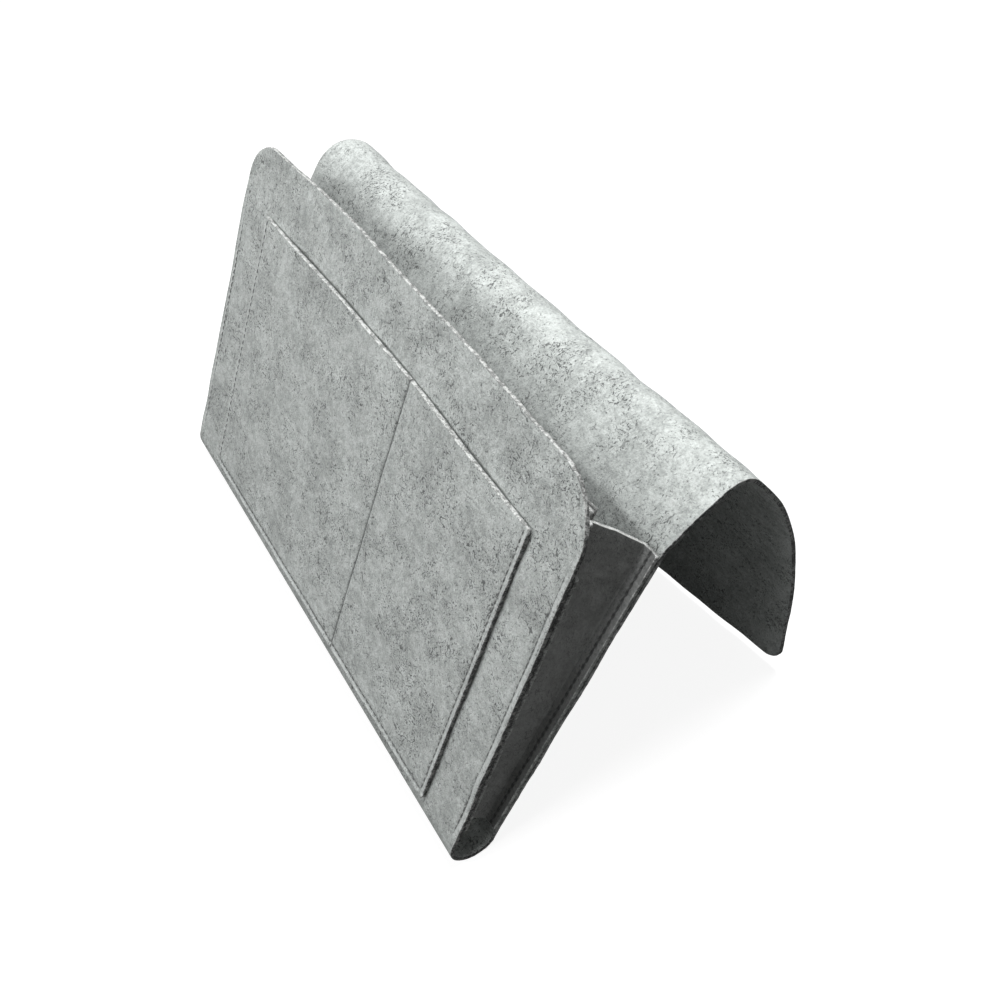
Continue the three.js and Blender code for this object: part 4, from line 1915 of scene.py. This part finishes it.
    def _press(self, x: Array, a: Array, depth: Array, level: Array) -> tuple[Array, Array]:
        """The seams on the back flange's open face, and on the front flange.

        Args:
            x: Distances from the pocket's middle.
            a: Distances from the front.
            depth: Distances from the front to the back.
            level: Levels of the gusset.

        Returns:
            Shares of the groove's depth, and the press that the finish reads.
        """
        seam = self.strip.half - self.layout.inset
        groove = self.seam.groove(x - seam, self.layout.inset)
        on_back = a > depth - self.back_bend * 0.3
        on_front = (a < self.bend * 0.5) & (level < self.flange_top)
        holes = self.seam.holes((self.strip.back_length - self.layout.foot) * level)
        # Painted shade on the back flange, and dots of painted shade at the needle holes.
        tone = -self.flange_shade * on_back - holes * self.seam.seam_shade(x - seam) * (on_back | on_front)
        return groove * (on_back | on_front), tone


class Run(NamedTuple):
    """A straight row of stitches on the front: where it starts, which way it heads, and its length."""

    x: float
    z: float
    way_x: float
    way_z: float
    length: float


@dataclass
class Stitching:
    """All twelve threads: a needle thread and a bobbin thread for each seam.

    Attributes:
        seat: How high a gusset seam's thread lies over its groove, in thread radii.
        patch_seat: The same on the patch.
        inner_seat: The same on the front's inner face.
    """

    strip: Strip
    stand: Stand
    seam: Seam
    layout: SeamLayout
    patch: PatchPocket
    gusset: Gusset
    seat: float = 0.6
    patch_seat: float = 0.9
    inner_seat: float = 0.5

    def build(self, finishes: Finishes) -> list[bpy.types.Object]:
        """Builds and dresses every thread as its row of stitches.

        Args:
            finishes: The materials.

        Returns:
            The threads.
        """
        threads = []
        for side, sign in (("left", -1.0), ("right", 1.0)):
            threads += self._gusset_threads(side, sign, finishes)
        for name, runs in self._patch_runs().items():
            needle = [self._flat_run(run, self._on_patch) for run in runs]
            bobbin = [self._flat_run(run, self._in_front) for run in runs]
            threads.append(self._thread(f"{name}_needle_thread", needle, "front", finishes))
            threads.append(self._thread(f"{name}_bobbin_thread", bobbin, "front", finishes))
        return threads

    @staticmethod
    def _thread(node: str, rows: list[MeshData], body: str, finishes: Finishes) -> bpy.types.Object:
        """One thread piece that stands for a thread node.

        Args:
            node: The node.
            rows: Its rows of stitches.
            body: The body that carries it.
            finishes: The materials.

        Returns:
            The piece.
        """
        # Needle threads inside the back seams take the darker thread, painted shade.
        inside = node.startswith("back") and "needle" in node
        material = finishes.painted_shade_thread if inside else finishes.thread
        piece = MeshData.joined(rows).make("stitches_" + node.removesuffix("_thread"), material)
        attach(piece, body)
        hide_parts(node)
        return piece

    def _gusset_threads(self, side: str, sign: float, finishes: Finishes) -> list[bpy.types.Object]:
        """The four threads of one gusset's two seams.

        Args:
            side: Name of the gusset's side.
            sign: 1 at the right end and -1 at the left end.
            finishes: The materials.

        Returns:
            The pieces.
        """
        strip, layout = self.strip, self.layout
        x = sign * (strip.half - layout.inset)
        foot = layout.front_rise
        front_length = strip.front_height - layout.front_end_drop - foot
        back_length = strip.back_length - layout.foot
        seat = self.seat * self.seam.thread
        sunk = self.seam.depth - seat
        flange = strip.felt + self.gusset.gap + self.gusset.felt

        def front_face(s: Array, u: Array, h: Array) -> Array:
            """Places along, across and above the seam, on the front's outer face."""
            return self.stand.place(x + u, sunk - h, foot + s)

        def front_inner(s: Array, u: Array, h: Array) -> Array:
            """The same on the front flange."""
            return self.stand.place(x + u, flange + seat + h, foot + s)

        def back_inner(s: Array, u: Array, h: Array) -> Array:
            """The same on the back flange."""
            return self._on_back(x + u, layout.foot + s, -1.0, self._flange_height() + h)

        def back_face(s: Array, u: Array, h: Array) -> Array:
            """The same on the back's rear face."""
            return self._on_back(x + u, layout.foot + s, 1.0, strip.felt / 2.0 - sunk + h)

        lays = {
            f"front_{side}_needle_thread": (front_length, front_face, "front"),
            f"front_{side}_bobbin_thread": (front_length, front_inner, "front"),
            f"back_{side}_needle_thread": (back_length, back_inner, "back"),
            f"back_{side}_bobbin_thread": (back_length, back_face, "back"),
        }
        return [
            self._thread(node, [self.seam.stitches(length, lay)], body, finishes)
            for node, (length, lay, body) in lays.items()
        ]

    def _flange_height(self) -> float:
        """Height of the back flange's groove above the back's middle surface."""
        flange = self.strip.felt / 2.0 + self.gusset.gap + self.gusset.felt
        return flange - self.gusset.groove_share * self.seam.depth + self.seat * self.seam.thread

    def _on_back(self, x: Array, up: Array, face: float, height: Array) -> Array:
        """Places at a height off the back's middle, towards its inner face (-1) or its rear face (1)."""
        course = self.strip.course(x, Stretch.BACK + up / self.strip.back_length)
        return self.stand.place(x, *course.off(face * height))

    def _patch_runs(self) -> dict[str, list[Run]]:
        """The straight runs of the patch's seam and of its divider.

        Returns:
            Runs by the seam's name.
        """
        patch = self.patch
        left, right = patch.left + patch.seam_inset, patch.right - patch.seam_inset
        bottom = patch.bottom_rise + patch.seam_inset
        height = patch.top - bottom
        left_run = Run(left, bottom, 0.0, 1.0, height)
        bottom_run = Run(left, bottom, 1.0, 0.0, right - left)
        right_run = Run(right, bottom, 0.0, 1.0, height)
        divider = Run(patch.divider, bottom, 0.0, 1.0, height)
        return {"patch": [left_run, bottom_run, right_run], "divider": [divider]}

    def _flat_run(self, run: Run, on: Lay) -> MeshData:
        """One straight row of stitches on the front.

        Args:
            run: Where the row lies.
            on: Turns places across, heights up the front and heights off a face into places.

        Returns:
            The stitches.
        """

        def lay(s: Array, u: Array, h: Array) -> Array:
            """Places along, across and above the run."""
            return on(run.x + s * run.way_x + u * run.way_z, run.z + s * run.way_z - u * run.way_x, h)

        return self.seam.stitches(run.length, lay)

    def _on_patch(self, x: Array, z: Array, height: Array) -> Array:
        """Places in the patch's grooves."""
        sunk = self.patch.felt / 2.0 - self.seam.depth + self.patch_seat * self.seam.thread
        return self.patch.lay(x, z, sunk + height)

    def _in_front(self, x: Array, z: Array, height: Array) -> Array:
        """Places on the front's inner face."""
        return self.stand.place(x, self.strip.felt + self.inner_seat * self.seam.thread + height, z)


# Studio


@dataclass(frozen=True)
class View:
    """The camera: where it stands, which way it looks, how it is rolled and how long its lens is."""

    eye: Point = (0.38282, -0.13745, 0.49247)
    heading: Point = (-0.60891, 0.26182, -0.74879)
    roll_deg: float = -9.74
    focal_px: float = 1142.7
    image_px: float = 1000.0
    sensor_mm: float = 36.0

    def build(self) -> None:
        """Makes the camera and sets it as the scene's camera."""
        data = bpy.data.cameras.new("camera")
        data.sensor_width = self.sensor_mm
        data.lens = self.sensor_mm * self.focal_px / self.image_px
        camera = bpy.data.objects.new("camera", data)
        level = Vector(self.heading).to_track_quat("-Z", "Y")
        roll = Quaternion((0.0, 0.0, 1.0), math.radians(self.roll_deg))
        camera.matrix_world = Matrix.Translation(self.eye) @ (level @ roll).to_matrix().to_4x4()
        bpy.context.scene.collection.objects.link(camera)
        bpy.context.scene.camera = camera


class Lamp(Enum):
    """Soft lamps: place, size and power, all aimed at the pocket."""

    KEY = ((0.04, 0.22, 1.09), 0.35, 13.8)
    FRONT = ((-0.20, -0.94, 0.78), 1.2, 7.8)


@dataclass(frozen=True)
class Studio:
    """A pale floor, soft lamps and a dim surround that the camera sees as white.

    Attributes:
        aim: Where the lamps point.
        floor_size: Side of the square floor.
        floor_glow: Light of the floor to the camera, to which floor_shade adds what falls on it.
        bounce: Colour of the floor as the pocket sees it.
        surround: Strength of the surround's light.
        white: Colour of the glow and of the surround.
    """

    aim: Point = (0.0, 0.0, 0.09)
    floor_size: float = 6.0
    floor_glow: float = 0.90
    floor_shade: Color = (0.22, 0.22, 0.22)
    bounce: Color = (0.16, 0.16, 0.16)
    surround: float = 0.154
    white: Color = (1.0, 1.0, 1.0)

    def build(self) -> None:
        """Makes the floor, the surround and the lamps."""
        scene = bpy.context.scene
        scene.view_settings.view_transform = "Standard"
        self._floor()
        self._world(scene)
        for lamp in Lamp:
            place, size, power = lamp.value
            data = bpy.data.lights.new("lamp_" + lamp.name.lower(), "AREA")
            data.shape = "DISK"
            data.size = size
            data.energy = power
            light = bpy.data.objects.new(data.name, data)
            turn = (Vector(self.aim) - Vector(place)).to_track_quat("-Z", "Y")
            light.matrix_world = Matrix.Translation(place) @ turn.to_matrix().to_4x4()
            scene.collection.objects.link(light)

    @staticmethod
    def _seen(graph: Graph) -> Value:
        """1 for rays that the camera sends, straight or through a mirror or glass.

        Args:
            graph: The node tree.

        Returns:
            A value of 0 or 1.
        """
        kinds = ("Camera", "Glossy", "Transmission")
        rays = [graph.node("ShaderNodeLightPath", None, None, f"Is {kind} Ray") for kind in kinds]
        return (rays[0] + rays[1] + rays[2]).step(0.0, 1.0)

    def _floor(self) -> None:
        """A plain floor that looks white and keeps a soft shadow."""
        half = self.floor_size / 2.0
        mesh = bpy.data.meshes.new("floor")
        corners = [(-half, -half, 0.0), (half, -half, 0.0), (half, half, 0.0), (-half, half, 0.0)]
        mesh.from_pydata(corners, [], [(0, 1, 2, 3)])
        floor = bpy.data.objects.new("floor", mesh)
        bpy.context.scene.collection.objects.link(floor)
        material, graph = Graph.of_material("pale_floor")
        lit = {"Color": rgba(self.white), "Strength": self.floor_glow}
        glow = graph.node("ShaderNodeEmission", None, lit)
        shade = graph.node("ShaderNodeBsdfDiffuse", None, {"Color": rgba(self.floor_shade)})
        shown = graph.node("ShaderNodeAddShader", None, {0: glow, 1: shade})
        bounce = graph.node("ShaderNodeBsdfDiffuse", None, {"Color": rgba(self.bounce)})
        surface = graph.node("ShaderNodeMixShader", None, {0: self._seen(graph), 1: bounce, 2: shown})
        graph.node("ShaderNodeOutputMaterial", None, {"Surface": surface})
        mesh.materials.append(material)

    def _world(self, scene: bpy.types.Scene) -> None:
        """A surround that lights the pocket dimly and looks white to the camera.

        Args:
            scene: The scene.
        """
        world = bpy.data.worlds.new("surround")
        world.use_nodes = True
        scene.world = world
        graph = Graph(world.node_tree)
        white = rgba(self.white)
        dim = graph.node("ShaderNodeBackground", None, {"Color": white, "Strength": self.surround})
        bright = graph.node("ShaderNodeBackground", None, {"Color": white, "Strength": 1.0})
        mixed = graph.node("ShaderNodeMixShader", None, {0: self._seen(graph), 1: dim, 2: bright})
        graph.node("ShaderNodeOutputWorld", None, {"Surface": mixed})


def main() -> None:
    """Builds the pocket, the studio and the camera."""
    logging.basicConfig(level=logging.INFO, format="%(name)s: %(message)s")
    View().build()
    Studio().build()
    strip = Strip()
    stand = Stand.of(strip)
    seam = Seam()
    layout = SeamLayout()
    finishes = Finishes.dressed()
    patch = PatchPocket(strip, stand, Seam(seam_shade_width=0.0007))
    pieces = FeltStrip(strip, stand, seam, layout, patch).build(finishes)
    pieces.append(patch.build(finishes))
    left = Gusset(strip, stand, seam, layout, side=-1, bow=0.007)
    right = Gusset(strip, stand, seam, layout, side=1, bow=0.0010)
    pieces += [left.build(finishes), right.build(finishes)]
    pieces += Stitching(strip, stand, seam, layout, patch, right).build(finishes)
    for piece in pieces:
        LOG.info("%s: %d faces", piece.name, len(piece.data.polygons))


if __name__ == "__main__":
    main()
